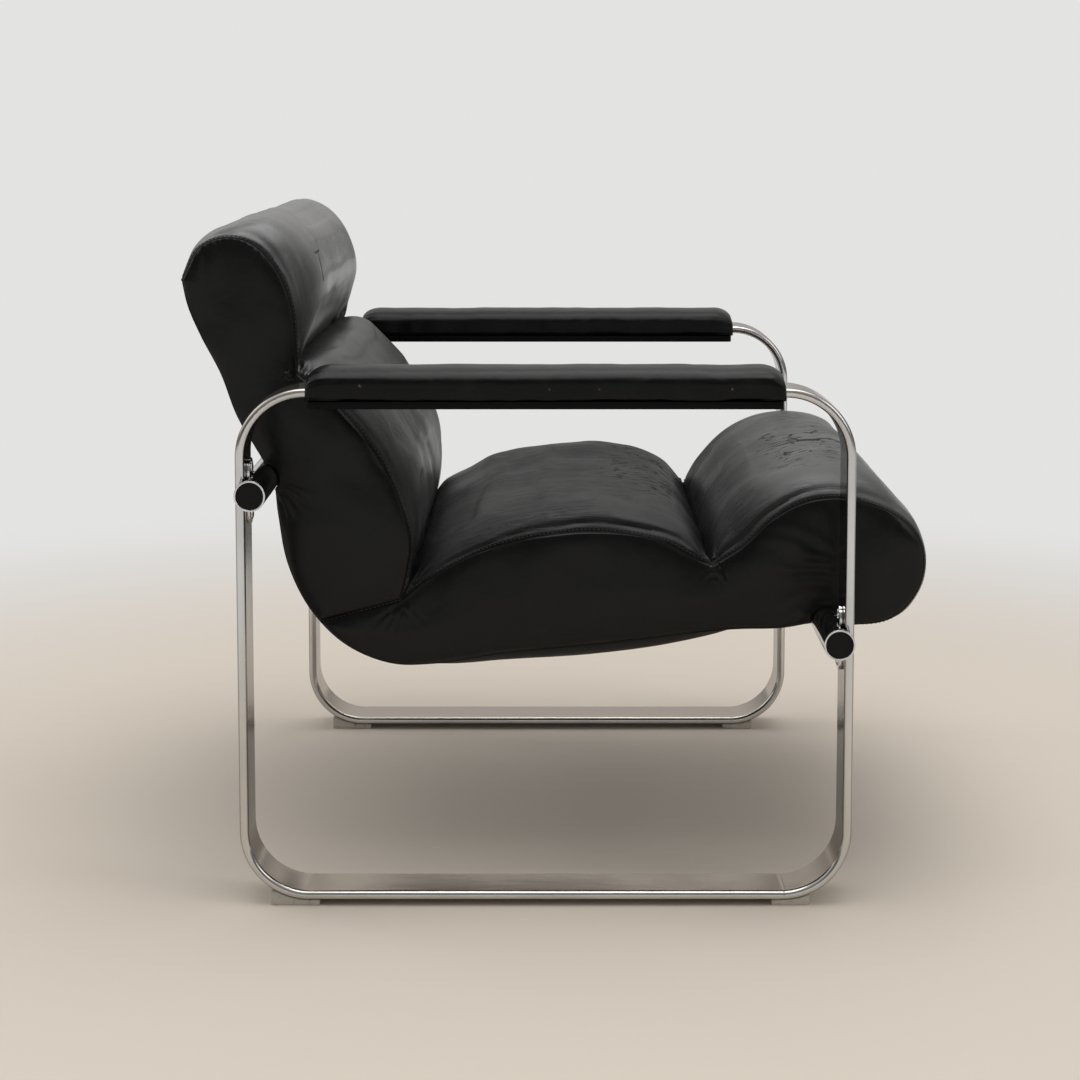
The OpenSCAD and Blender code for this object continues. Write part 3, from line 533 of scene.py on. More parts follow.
def smooth(points, steps=12):
    """A smooth curve through points, with even spacing by chord length."""
    p = np.asarray(points, float)
    p = np.vstack([2 * p[0] - p[1], p, 2 * p[-1] - p[-2]])
    parts = []
    for a, b, c, d in zip(p, p[1:], p[2:], p[3:]):
        t1, t2, t3 = np.cumsum([math.sqrt(np.linalg.norm(v - u)) for u, v in ((a, b), (b, c), (c, d))])
        t = np.linspace(t1, t2, steps, endpoint=False)[:, None]

        def blend(u, v, start, end):
            return (u * (end - t) + v * (t - start)) / (end - start)

        first, second, third = blend(a, b, 0, t1), blend(b, c, t1, t2), blend(c, d, t2, t3)
        parts.append(blend(blend(first, second, 0, t2), blend(second, third, t1, t3), t1, t2))
    return np.vstack(parts + [p[-2:-1]])


def spaced(points, count):
    """Points spaced evenly along a line."""
    s = np.concatenate([[0], np.cumsum(np.linalg.norm(np.diff(points, axis=0), axis=1))])
    at = np.linspace(0, s[-1], count)
    return np.stack([np.interp(at, s, points[:, k]) for k in range(points.shape[1])], 1)


def left_of(points):
    """Unit normals on the left side of a line."""
    d = np.gradient(points, axis=0)
    return np.stack([-d[:, 1], d[:, 0]], 1) / np.linalg.norm(d, axis=1)[:, None]


rear_seam = [-0.138, 2.38]
head_valley, head_valley_mid = [0.064, 1.734], [0.08, 1.922]
seat_valley, seat_valley_mid = [0.242, 0.153], [0.275, 0.496]
knee_valley, knee_valley_mid = [0.797, 0.403], [0.788, 0.494]
underside = [0.967, -0.013]
rolls = {
    "headrest": (
        [rear_seam, [-0.104, 2.61], [-0.054, 2.673], [-0.013, 2.624], [0.028, 2.456], [0.054, 2.2],
         [0.061, 1.924], head_valley],
        [rear_seam, [-0.126, 2.561], [-0.095, 2.698], [-0.051, 2.774], [-0.006, 2.819], [0.039, 2.763],
         [0.073, 2.636], [0.092, 2.468], [0.099, 2.284], [0.093, 2.101], head_valley_mid],
    ),
    "back": (
        [head_valley, [0.135, 1.5], [0.201, 1.18], [0.238, 0.896], [0.261, 0.57], [0.256, 0.38], seat_valley],
        [head_valley_mid, [0.129, 1.816], [0.169, 1.668], [0.204, 1.502], [0.233, 1.316], [0.261, 1.131],
         [0.277, 0.925], [0.282, 0.711], seat_valley_mid],
    ),
    "seat": (
        [seat_valley, [0.285, 0.291], [0.383, 0.494], [0.49, 0.604], [0.598, 0.635], [0.704, 0.573],
         [0.775, 0.43], knee_valley],
        [seat_valley_mid, [0.331, 0.599], [0.386, 0.7], [0.446, 0.764], [0.507, 0.802], [0.568, 0.813],
         [0.63, 0.805], [0.69, 0.768], [0.746, 0.671], knee_valley_mid],
    ),
    "front_roll": (
        [knee_valley, [0.847, 0.528], [0.901, 0.722], [0.964, 0.848], [1.037, 0.867], [1.115, 0.764],
         [1.16, 0.589], [1.171, 0.38], [1.151, 0.158], [1.106, 0.016], [1.045, -0.02], underside],
        [knee_valley_mid, [0.82, 0.691], [0.86, 0.866], [0.911, 0.99], [0.968, 1.064], [1.028, 1.076],
         [1.085, 1.007], [1.128, 0.847], [1.166, 0.664], [1.185, 0.443], [1.179, 0.211], [1.144, 0.026],
         [1.087, -0.039], [1.027, -0.028], underside],
    ),
}
rear_shares = [
    rear_seam, [-0.128, 2.2], [-0.106, 1.994], [-0.072, 1.734], [-0.044, 1.437], [-0.005, 1.171], [0.018, 1],
    [0.026, 0.76], [0.042, 0.411], [0.08, 0.095], [0.142, -0.158], [0.223, -0.294], [0.305, -0.297],
    [0.419, -0.228], [0.598, -0.158], [0.826, -0.057], [0.919, -0.045], underside,
]
rear_line = spaced(smooth(outline(rear_shares)), 801)
rear_normals = left_of(rear_line)
rear_normals[:6] = [1, 0]
rear_total = np.linalg.norm(np.diff(rear_line, axis=0), axis=1).sum()


def rear_at(shares, depth):
    """Points at stations on the rear outline, at a depth into the shell."""
    k = np.atleast_1d(shares) * (len(rear_line) - 1)
    at = np.arange(len(rear_line))
    p = np.stack([np.interp(k, at, rear_line[:, c]) for c in range(2)], 1)
    n = np.stack([np.interp(k, at, rear_normals[:, c]) for c in range(2)], 1)
    return p + np.asarray(depth) * (n / np.linalg.norm(n, axis=1)[:, None])


def station_near(point):
    return np.argmin(np.linalg.norm(rear_line - point, axis=1)) / (len(rear_line) - 1)


# Webbing: woven rubber straps stretched across the rails, which carry the padding,
# with their ends folded under pressed steel clips.
rubber_web = Finish("woven_rubber_webbing", specular_ior_level=0.3)
warp = rubber_web.maths("SINE", rubber_web.y * 1600)
weft = rubber_web.maths("SINE", (rubber_web.x - rubber_web.z) * 2100)
rubber_web.paint(rubber_web.noise(300, 2), (0.1, 0.07, 0.045), (0.2, 0.15, 0.1))
rubber_web.set("Roughness", 0.75 + warp * weft * 0.08)
rubber_web.set("Normal", rubber_web.bump(warp * weft, 0.25 * MM))


def grid_of(rows, ys):
    """Points of a grid: rows of X and Z, each at its Y."""
    return np.stack([np.column_stack([r[:, 0], np.full(len(r), y), r[:, 1]]) for r, y in zip(rows, ys)])


def shell(upper, lower):
    """Points and faces of a closed form between two grids of points."""
    m, n = upper.shape[:2]
    size = m * n
    top = [(a, a + n, a + n + 1, a + 1) for a in (j * n + i for j in range(m - 1) for i in range(n - 1))]
    bottom = [tuple(size + v for v in reversed(f)) for f in top]
    rim = [*range(n - 1), *(j * n + n - 1 for j in range(m - 1)), *((m - 1) * n + i for i in range(n - 1, 0, -1)),
           *(j * n for j in range(m - 1, 0, -1))]
    sides = [(a, b, b + size, a + size) for a, b in zip(rim, rim[1:] + rim[:1])]
    return np.vstack([upper.reshape(-1, 3), lower.reshape(-1, 3)]), top + bottom + sides


web_start = 34.25 * MM
web_thickness = 2.5 * MM
web_width = 50 * MM
web_half_length = inner_half - 5.3 * MM
web_give = 3 * MM
web_edge = 0.5 * MM
web_rows, web_columns = 61, 13
for part, first, last, count in (("back", 0.09, 0.39, 4), ("seat", 0.5, 0.93, 6)):
    points, faces, used = [], [], 0
    for middle in np.linspace(first, last, count):
        stations = middle + np.linspace(-0.5, 0.5, web_columns) * web_width / rear_total
        ys = np.linspace(-1, 1, web_rows)
        give = web_give * (1 - ys ** 2) ** 2
        edge = web_edge * np.abs(np.linspace(-1, 1, web_columns)) ** 6
        near, far = (
            grid_of([rear_at(stations, (web_start - sag + depth)[:, None]) for sag in give], ys * web_half_length)
            for depth in (edge, web_thickness - edge)
        )
        strap_points, strap_faces = shell(far, near)
        points.append(strap_points)
        faces += [tuple(v + used for v in f) for f in strap_faces]
        used += len(strap_points)
    placed(solid(f"{part}_straps", np.vstack(points), faces, rubber_web), "webbing", f"{part}_webbing")


# Rolls of the shell: black leather over foam, cut a little large, drawn down along
# the side seams and in the valleys, and fuller at mid width.
def leather(name, grey, rough):
    """Black upholstery leather: fine grain, soft dents, short creases, and a rubbed bloom."""
    finish = Finish(name, specular_ior_level=0.3)
    broad = finish.noise(7, 3, 0.55)
    rubbed = finish.step(finish.noise(34, 4, 0.6), 0.45, 0.8)
    finish.rough = rough - broad * 0.1 + rubbed * 0.08
    finish.bloom = rubbed
    grain = finish.node("ShaderNodeTexVoronoi", {"feature": "F1"}, {"Vector": finish.place, "Scale": 850})
    dents = finish.bump(finish.noise(22, 3, 0.5), 1.2 * MM)
    crinkle = finish.bump(finish.noise(120, 4, 0.6, distortion=0.6), 0.2 * MM, normal=dents)
    finish.relief = finish.bump(grain, 0.1 * MM, 0.6, crinkle)
    finish.paint(rubbed, (grey, grey, grey * 0.97), (grey * 2.2, grey * 2.2, grey * 2.1))
    finish.set("Roughness", finish.rough)
    finish.set("Normal", finish.relief)
    return finish


def lay_of(finish):
    """A point's place on the flat leather, and its parts."""
    lay = finish.node("ShaderNodeAttribute", {"attribute_name": "lay"}, out="Vector")
    return lay, finish.split(lay)


stitch_pitch = 4.6 * MM
stitch_up = 1.9 * MM
hide = leather("black_roll_leather", 0.007, 0.38)
lay, (_, lay_y, lay_seam) = lay_of(hide)
# hairline creases that run from back to front, in patches
lines = hide.noise(1, 3, 0.6, hide.stretched((330, 20, 0), lay), 0.5)
patches = hide.step(hide.noise(11, 2), 0.4, 0.62) * (1 - hide.step(hide.z, 0.47, 0.55) * 0.75)
creases = (1 - hide.maths("MINIMUM", abs(lines - 0.5) * 13, 1)) * patches
# cracks where the leather has dried on the seat and on the knee roll
swirl = hide.node("ShaderNodeTexNoise", {}, {"Vector": lay, "Scale": 160}, out="Color")
swirl = hide.node("ShaderNodeVectorMath", {"operation": "SCALE"}, {0: swirl, "Scale": 0.006})
swirl = hide.node("ShaderNodeVectorMath", {"operation": "ADD"}, {0: lay, 1: swirl})
torn = hide.node("ShaderNodeTexVoronoi", {"feature": "DISTANCE_TO_EDGE"},
                 {"Vector": hide.stretched((62, 34, 0), swirl), "Scale": 1})
split_line = hide.y + hide.noise(70, 3) * 0.03 - 0.015
broken = hide.most(hide.step(hide.noise(48, 4, 0.65), 0.49, 0.56), hide.between(split_line, -0.075, -0.028, 0.01))
seat_worn = hide.area(x=(0.055, 0.165, 0.03), y=(-0.16, 0.19, 0.07), z=(0.37, 0.43, 0.01))
knee_worn = hide.area(x=(0.24, 0.335, 0.02), y=(-0.19, 0.06, 0.05), z=(0.42, 0.47, 0.01))
cracks = (1 - hide.step(torn, 0.02, 0.1)) * broken * hide.most(seat_worn, knee_worn)
long_crack = (hide.between(split_line, -0.054, -0.046, 0.002)
              * hide.area(x=(0.27, 0.345, 0.004), z=(0.43, 0.47, 0.01)))
# a tear like a T on the headrest: a leaning stem under a level head
tear_foot, tear_lean = 0.652, -0.78
fray = hide.noise(240, 2) * 0.01 - 0.005
stem = (hide.between(hide.z, 0.6545, 0.686, 0.0015)
        * hide.between(hide.y + (hide.z - tear_foot) * tear_lean + fray, -0.1995, -0.1935, 0.0015))
head = hide.between(hide.z + fray * 0.25, 0.6845, 0.6868, 0.0009) * hide.between(hide.y, -0.195, -0.155, 0.004)
tear = hide.most(stem, head) * hide.between(hide.x, -0.29, -0.24, 0.002)
cut = hide.most(cracks, long_crack, tear)
# needle holes beside the side seams, painted dark as the shade in them, and painted shade where these sink in
holes = (hide.bell(lay_seam, stitch_up, 1.1 * MM)
         * hide.step(hide.maths("SINE", lay_y * (2 * math.pi / stitch_pitch)), 0.1, 0.7))
sunk_shade = (1 - hide.step(lay_seam, 2 * MM, 5 * MM)) * 0.75
# cracks and the tear, with painted shade in the needle holes, the creases and the sunk band by the seams, all
# painted near black
marks_and_painted_shade = hide.most(cut, holes, creases * 0.5, sunk_shade)
# grey streaks of rubbed wear, painted much stronger on the top of the headrest and on the ends of the knee roll as
# a painted sheen
streaks = hide.step(hide.noise(1, 4, 0.65, hide.stretched((60, 9, 0), lay)), 0.4, 0.8)
knee_end = hide.step(hide.x, 0.31, 0.37) * hide.between(hide.z, 0.385, 0.445, 0.02)
painted_sheen_areas = hide.most(hide.step(hide.z, 0.6, 0.72), knee_end * 0.8)
# the bloom here mixes random rubbed wear with the painted sheen of the headrest top and the knee end
bloom = hide.maths("MULTIPLY", streaks * 0.6 + hide.bloom * 0.4, 0.2 + painted_sheen_areas * 0.8, clamp=True)
hide.paint(marks_and_painted_shade, hide.colour(bloom, 0.006, (0.075, 0.075, 0.073)), 0.001)
# rubbed smooth on the headrest and the knee roll, less on the back
shiny = hide.most(hide.step(hide.z, 0.6, 0.66), hide.step(hide.x, 0.19, 0.25) * 0.7,
                  hide.step(-hide.x, 0.08, 0.14) * 0.35)
hide.set("Specular IOR Level", 0.25)
hide.set("Coat Roughness", 0.45)
hide.set("Coat Weight", shiny * (1 - marks_and_painted_shade))
hide.set("Roughness", hide.rough - painted_sheen_areas * 0.1 + (1 - shiny) * 0.1 + marks_and_painted_shade * 0.4)
hide.set("Normal", hide.bump(-(creases * 0.25 + cut + holes), 0.6 * MM, 1.0, hide.relief))

roll_rows, roll_columns = 161, 221
pad_depth = 14 * MM
bed_depth = 39 * MM
across = np.sin(np.linspace(-math.pi / 2, math.pi / 2, roll_rows))
across = 0.5 * across + 0.5 * np.linspace(-1, 1, roll_rows)


def crown_at(u):
    """How much of its fullness a roll has at a share of its half width: it swells soon after the side seam."""
    reach = 21 * MM
    return (1 - np.exp(-(1 - np.abs(u)) * inner_half / reach)) / (1 - math.exp(-inner_half / reach))


def hill(distance, width):
    """1 at no distance, falling to 0 at a few widths."""
    return np.exp(-(distance / width) ** 2)


def ramp(distance, length):
    """0 up to no distance, and 1 from a length on."""
    return np.clip(distance / length, 0, 1)


def dents(a, b, length, seed):
    """A smooth field over two coordinates, about -1 to 1, with dents of a length."""
    chance = np.random.default_rng(seed)
    field = 0
    for _ in range(9):
        angle, phase = chance.uniform(0, 2 * math.pi, 2)
        wave = chance.uniform(0.7, 1.5) * length
        field = field + np.sin((a * math.cos(angle) + b * math.sin(angle)) * 2 * math.pi / wave + phase)
    return field / 3


def flat_places(grid):
    """Each point's place on the leather: from mid width, along from the first edge, and from the nearer side."""
    wide = np.linalg.norm(np.diff(grid, axis=0), axis=2)
    wide = np.vstack([np.zeros(grid.shape[1]), np.cumsum(wide, axis=0)])
    along = np.linalg.norm(np.diff(grid, axis=1), axis=2)
    along = np.hstack([np.zeros((grid.shape[0], 1)), np.cumsum(along, axis=1)])
    return wide - wide[-1] / 2, along, np.minimum(wide, wide[-1] - wide)


def from_edges(along, beside):
    """Each point's distance from the nearest edge."""
    return np.minimum(beside, np.minimum(along, along[:, -1:] - along))


def outwards(grid):
    """Unit normals of a grid, on its left side."""
    n = np.cross(np.gradient(grid, axis=0), np.gradient(grid, axis=1))
    n /= np.linalg.norm(n, axis=2)[:, :, None] + 1e-12
    return n * np.sign((n[:, :, 2] + n[:, :, 0]).sum())


def blurred(field, reach):
    """A grid of vectors, averaged over a number of its own steps."""
    kernel = np.exp(-np.linspace(-2, 2, 4 * reach + 1) ** 2)
    kernel /= kernel.sum()
    for axis in (0, 1):
        padded = np.concatenate([np.repeat(np.take(field, [0], axis), 2 * reach, axis), field,
                                 np.repeat(np.take(field, [-1], axis), 2 * reach, axis)], axis)
        field = np.apply_along_axis(lambda line: np.convolve(line, kernel, "valid"), axis, padded)
    return field


def filled(top, under, cap):
    """Fills a cushion by cloth simulation, with its seams and bed held, and returns how its upper grid wrinkles."""
    coarse, bed = top[::2, ::2], under[::2, ::2]
    m, n = coarse.shape[:2]
    points, faces = shell(coarse, bed)
    trial = linked("trial", mesh_of("trial", points, faces))
    held = trial.vertex_groups.new(name="held")
    held.add(list(range(m * n, 2 * m * n)), 1.0, "REPLACE")
    edge = np.zeros((m, n), bool)
    edge[[0, -1]] = edge[:, [0, -1]] = True
    held.add(np.flatnonzero(edge.ravel()).tolist(), 1.0, "REPLACE")
    cloth = trial.modifiers.new("filling", "CLOTH")
    for key, value in {
        "quality": 5, "mass": 0.3, "tension_stiffness": 40, "compression_stiffness": 40, "shear_stiffness": 15,
        "bending_stiffness": 25, "shrink_min": -0.003, "use_pressure": True, "uniform_pressure_force": 3,
        "vertex_group_mass": "held",
    }.items():
        setattr(cloth.settings, key, value)
    cloth.settings.effector_weights.gravity = 0
    cloth.collision_settings.use_collision = False
    last_step = 20
    cloth.point_cache.frame_start, cloth.point_cache.frame_end = 1, last_step
    for step in range(1, last_step + 1):
        bpy.context.scene.frame_set(step)
    result = trial.evaluated_get(bpy.context.evaluated_depsgraph_get()).data
    place = np.empty(len(points) * 3, "f")
    result.vertices.foreach_get("co", place)
    bpy.context.scene.frame_set(1)
    bpy.data.objects.remove(trial)
    move = place.reshape(-1, 3)[:m * n].reshape(m, n, 3) - coarse
    move = blurred(move, 2) - 0.9 * blurred(move, 7)
    length = np.linalg.norm(move, axis=2)[:, :, None]
    move /= np.sqrt(1 + (length / cap) ** 2)
    fine = np.zeros(top.shape)
    fine[::2, ::2] = move
    fine[1::2, ::2] = (move[:-1] + move[1:]) / 2
    fine[:, 1::2] = (fine[:, :-1:2] + fine[:, 2::2]) / 2
    return fine


# how wide and how deep the soft fold beside the side seams is, along each roll
seam_folds = {
    "headrest": ([0, 0.5, 1], [8, 10, 6], [0.3, 0.9, 0.6]),
    "back": ([0, 0.5, 1], [6, 9, 5], [0.6, 0.8, 0.4]),
    "seat": ([0, 0.12, 0.5, 0.88, 1], [3.5, 6, 11, 12, 4], [0.3, 1.3, 2.3, 2.4, 0.4]),
    "front_roll": ([0, 0.06, 0.2, 0.36, 0.5, 1], [4, 7, 10, 11, 9, 8], [0.4, 1.8, 2.2, 1.3, 0.3, 0.3]),
}


def relief(roll, wide, along, beside, seed):
    """Height over a roll: a fold beside each side seam, pleats at the ends of the valleys, creases and dents."""
    total = along[:, -1:]
    left = total - along
    share = along / total
    seated = roll in ("seat", "front_roll")
    stops, widths, depths = seam_folds[roll]
    wander = 1 + 0.08 * dents(share * 0.6, np.sign(wide) * 0.3, 0.16, seed + 1)
    width = np.interp(share, stops, widths) * MM * wander
    depth = np.interp(share, stops, depths) * MM
    height = depth * (0.3 * hill(beside - 0.5 * width, 0.32 * width) - 0.8 * hill(beside - width, 0.28 * width)
                      + 0.35 * hill(beside - 1.8 * width, 0.55 * width))
    for distance, here in ((along, roll != "headrest"), (left, roll != "front_roll")):
        if here:
            r = np.hypot(distance, beside)
            turn = np.arctan2(beside, distance)
            folds = np.sin(13 * turn + 1.5 * dents(r, turn * 0.02, 0.05, seed + 2))
            height += 1.9 * MM * hill(r, 26 * MM) * (1 - hill(r, 6 * MM)) * folds
            pulls = dents(wide, distance * 0.12, 16 * MM, seed + 3)
            pulls *= np.exp(-distance / (30 * MM)) * ramp(distance, 8 * MM)
            height += (0.6 if seated else 0.08) * MM * pulls
    lines = dents(wide, along * 0.09, 11 * MM, seed + 4)
    height += (0.2 if seated else 0.05) * MM * lines * np.clip(dents(wide, along, 90 * MM, seed + 5), 0, 1)
    height += 1.1 * MM * dents(wide, along, 120 * MM, seed + 6)
    ease = ramp(np.minimum(np.minimum(beside / 3, along / 5), left / 5), MM)
    return height * ease * ease * (3 - 2 * ease)


head_corner, seat_corner, knee_corner = outline([head_valley, seat_valley, knee_valley])
head_station, seat_station, knee_station = (station_near(c) for c in (head_corner, seat_corner, knee_corner))
beds = {"headrest": (0, head_station), "back": (head_station, seat_station), "seat": (seat_station, knee_station)}
# how far each roll's two ends are tied down into the valleys, as a share of its thickness, and over what length
valley_ties = {
    "headrest": ((0, 1), (0.36, 11)),
    "back": ((0.36, 11), (0.2, 8)),
    "seat": ((0.2, 8), (0.36, 11)),
    "front_roll": ((0.36, 11), (0, 1)),
}
seam_lines, stitch_lines = {}, []
for order, (roll, (seam_shares, mid_shares)) in enumerate(rolls.items()):
    seam = spaced(smooth(outline(seam_shares)), roll_columns)
    mid = spaced(smooth(outline(mid_shares)), roll_columns)
    seam_lines[roll] = seam
    top = grid_of([seam + crown_at(u) * (mid - seam) for u in across], across * inner_half)
    if roll in beds:
        bed = rear_at(np.linspace(*beds[roll], roll_columns), bed_depth)
    else:
        corner = rear_at(1, bed_depth)
        end = rear_at(1, 2 * MM)
        bed = rear_at(np.linspace(knee_station, 1, roll_columns * 10 // 16), bed_depth)
        drop = np.linspace(0, 1, roll_columns - len(bed) + 2)[1:-1, None]
        bed = np.vstack([bed, corner + (end - corner) * drop])
    under = grid_of([bed] * roll_rows, across * (inner_half - 1 * MM))
    # the valleys are tied down towards the bed
    along = flat_places(top)[1]
    for k, distance in ((0, along), (-1, along[:, -1:] - along)):
        share, reach = valley_ties[roll][k]
        pull = (under[:, k] - top[:, k]) * share * crown_at(across)[:, None]
        top = top + pull[:, None] * np.exp(-(distance / (reach * MM)) ** 1.3)[:, :, None]
    top = top + filled(top, under, 1.0 * MM)
    place = flat_places(top)
    top = top + outwards(top) * relief(roll, *place, 20 * order)[:, :, None]
    if roll == "front_roll":
        dx = top[:, :, 0] - front_bar[0]
        inside = ((np.abs(dx) < bar_clear) & (top[:, :, 2] < front_bar[1] + bar_clear)
                  & (np.arange(roll_columns) > roll_columns // 2))
        height = front_bar[1] + np.sqrt(np.clip(bar_clear ** 2 - dx ** 2, 0, None))
        top[:, :, 2] = np.where(inside, np.maximum(top[:, :, 2], height), top[:, :, 2])
    lay_points = np.stack(place, 2).reshape(-1, 3)
    cushion = solid(f"{roll}_cushion", *shell(top, under), hide, lay=np.vstack([lay_points] * 2))
    placed(cushion, "roll_leather", f"{roll}_cover", f"{roll}_foam")
    # where the thread of the side seams lies: a little way up the roll
    beside = flat_places(top)[2]
    for rows in (slice(0, 24), slice(-1, -25, -1)):
        stitch_lines.append(np.array([[np.interp(stitch_up, beside[rows, k], top[rows, k, c]) for c in range(3)]
                                      for k in range(roll_columns)]))


# Side seams: the rolls are sewn to the side panels with thick black thread, in
# short even stitches that sink into the leather.
thread = matt("black_thread", (500,), (0.012, 0.03), (0.55, 0.2), (900,), (1500, 2), specular_ior_level=0.4)
stitching = Recipe("stitching", Pitch=stitch_pitch, Length=3.4 * MM, Thickness=1.1 * MM)
size = stitching.inputs
route = stitching.node("GeometryNodeMeshToCurve", {}, {"Mesh": stitching.base})
spots = stitching.node("GeometryNodeResampleCurve", {"mode": "LENGTH"}, {"Curve": route, "Length": size["Pitch"]})
stitch = stitching.node("GeometryNodeMeshUVSphere", {}, {"Segments": 7, "Rings": 5, "Radius": 0.5})
copies = stitching.node("GeometryNodeInstanceOnPoints", {}, {
    "Points": spots, "Instance": stitch,
    "Rotation": stitching.node("FunctionNodeAlignRotationToVector", {"axis": "X"},
                               {"Vector": stitching.node("GeometryNodeInputTangent")}),
    "Scale": stitching.node("ShaderNodeCombineXYZ", {},
                            {0: size["Length"], 1: size["Thickness"], 2: size["Thickness"]}),
})
stitching.end(stitching.node("GeometryNodeSetShadeSmooth", {}, {0: copies}), thread)


def sewn(name, lines):
    """Stitches along lines of points."""
    starts = np.cumsum([0] + [len(line) for line in lines])
    edges = [(a + k, a + k + 1) for a, line in zip(starts, lines) for k in range(len(line) - 1)]
    path = mesh_of(name + "_path", np.vstack(lines), edges=edges)
    made = stitching.made(name, path)
    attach(made, "root")


sewn("side_seam_stitches", stitch_lines)

# Side panels: flat leather panels sewn to the rolls along their profile, a little
# swollen by the foam, with pleats where the crossbars pull and the valleys end.
# painted shade: the side panels get a darker copy of the black leather than the rolls, for the shade on their
# upright faces
gusset = leather("black_panel_leather", 0.0025, 0.37)
gusset.set("Specular IOR Level", 0.24)
# the leather has split under the knee valley
jagged = gusset.noise(170, 3) * 0.006 - 0.003
split = 0
for split_x, top_z, low_z, slant in ((0.1745, 0.35, 0.3335, 0.45), (0.186, 0.353, 0.345, -0.5),
                                     (0.163, 0.3525, 0.347, 0.6)):
    off = gusset.x + (gusset.z - top_z) * slant - split_x + jagged
    split = split + gusset.between(off, -0.001, 0.001, 0.0006) * gusset.between(gusset.z, low_z, top_z, 0.0015)
from_seam = lay_of(gusset)[1][2]
seam_shade = 1 - gusset.step(from_seam, 0.7 * MM, 2.4 * MM)
gusset.set("Roughness", gusset.rough + seam_shade * 0.4)
# painted shade: the panel's edge along the side seams is painted darker, together with the split, as the shade in
# the seam
split = gusset.most(split, seam_shade * 0.8)
gusset.paint(split, gusset.colour(gusset.bloom, (0.0022, 0.0022, 0.0021), (0.005, 0.005, 0.0047)), 0.0003)
gusset.set("Normal", gusset.bump(-split, 0.8 * MM, 1.0, gusset.relief))


def around_bar(points, bar, radius):
    """An outline with the part inside a crossbar's circle led round the circle, on the panel's side."""
    inside = np.linalg.norm(points - bar, axis=1) < radius
    if not inside.any():
        return points
    start = np.flatnonzero(inside & ~np.roll(inside, 1))[0]
    points, inside = np.roll(points, -start, axis=0), np.roll(inside, -start)
    count = int(np.argmin(inside))
    a0 = math.atan2(*(points[-1] - bar)[::-1])
    a1 = math.atan2(*(points[count] - bar)[::-1])
    sweep = (a1 - a0) % (2 * math.pi)
    options = []
    for turn in (sweep, sweep - 2 * math.pi):
        angles = np.linspace(a0, a0 + turn, 22)
        arc = bar + radius * np.stack([np.cos(angles), np.sin(angles)], 1)
        ring = np.vstack([arc, points[count:]])
        x, z = ring[:, 0], ring[:, 1]
        options.append((abs(np.dot(x, np.roll(z, -1)) - np.dot(z, np.roll(x, -1))), len(options), ring))
    return min(options)[2]


def far_from(points, line):
    """Distance of each point from a line of points."""
    nearest = np.full(len(points), 9.0)
    for a, b in zip(line, line[1:]):
        t = np.clip((points - a) @ (b - a) / max(np.dot(b - a, b - a), 1e-12), 0, 1)
        nearest = np.minimum(nearest, np.linalg.norm(points - a - t[:, None] * (b - a), axis=1))
    return nearest


def within(points, ring):
    """Whether each point lies inside a closed outline."""
    inside = np.zeros(len(points), bool)
    for (ax, az), (bx, bz) in zip(ring, np.roll(ring, -1, axis=0)):
        if az != bz:
            crosses = (az > points[:, 1]) != (bz > points[:, 1])
            inside ^= crosses & (points[:, 0] < (bx - ax) * (points[:, 1] - az) / (bz - az) + ax)
    return inside


def fan(p, centre, near, reach, folds, first, last, depth):
    """Pleats that spread from a point, between two directions in degrees, deepest at a distance from it."""
    x, z = (p - centre).T
    turn = np.degrees(np.arctan2(z, x)) % 360
    window = ramp(turn - first, 12) * ramp(last - turn, 12)
    wave = np.sin(np.radians(turn) * folds + 1.5 * dents(*p.T, 60 * MM, int(reach * 9000)))
    return depth * window * wave * hill(np.hypot(x, z) - near, reach)


# centre, distance, reach, folds, directions and depth of the pleats on a side panel
pleats = (
    (front_bar + [0.075, 0.045], 92 * MM, 46 * MM, 34, 146, 222, 0.85 * MM),
    (rear_bar, 34 * MM, 18 * MM, 19, 285, 400, 1.1 * MM),
    (seat_corner, 12 * MM, 20 * MM, 19, 175, 330, 1.4 * MM),
    (knee_corner, 9 * MM, 12 * MM, 19, 205, 335, 1.6 * MM),
    (head_corner, 10 * MM, 14 * MM, 17, 130, 260, 1.9 * MM),
)
notch_x, notch_low, notch_top = -0.3825, 0.6, 0.7
pucker_low, pucker_pitch = 0.675, 7.5 * MM


def panel_relief(p, edge, seed):
    """Height over a side panel, at points in X and Z and distances from its edge."""
    x, z = p.T
    height = sum(fan(p, *pleat) for pleat in pleats)
    # the leather is turned in at the rear of the headrest, and puckered under its top seam
    height -= 1.3 * MM * hill(x - notch_x, 3.5 * MM) * ramp(z - notch_low, 30 * MM) * ramp(notch_top - z, 10 * MM)
    puckers = np.sin(x * 2 * math.pi / pucker_pitch) * hill(edge - 5.5 * MM, 3 * MM)
    height += 1.5 * MM * ramp(z - pucker_low, 12 * MM) * puckers
    height += 1.1 * MM * dents(x, z, 110 * MM, seed) + 0.3 * MM * dents(x, z, 45 * MM, seed + 1)
    return height * ramp(edge, 4 * MM)


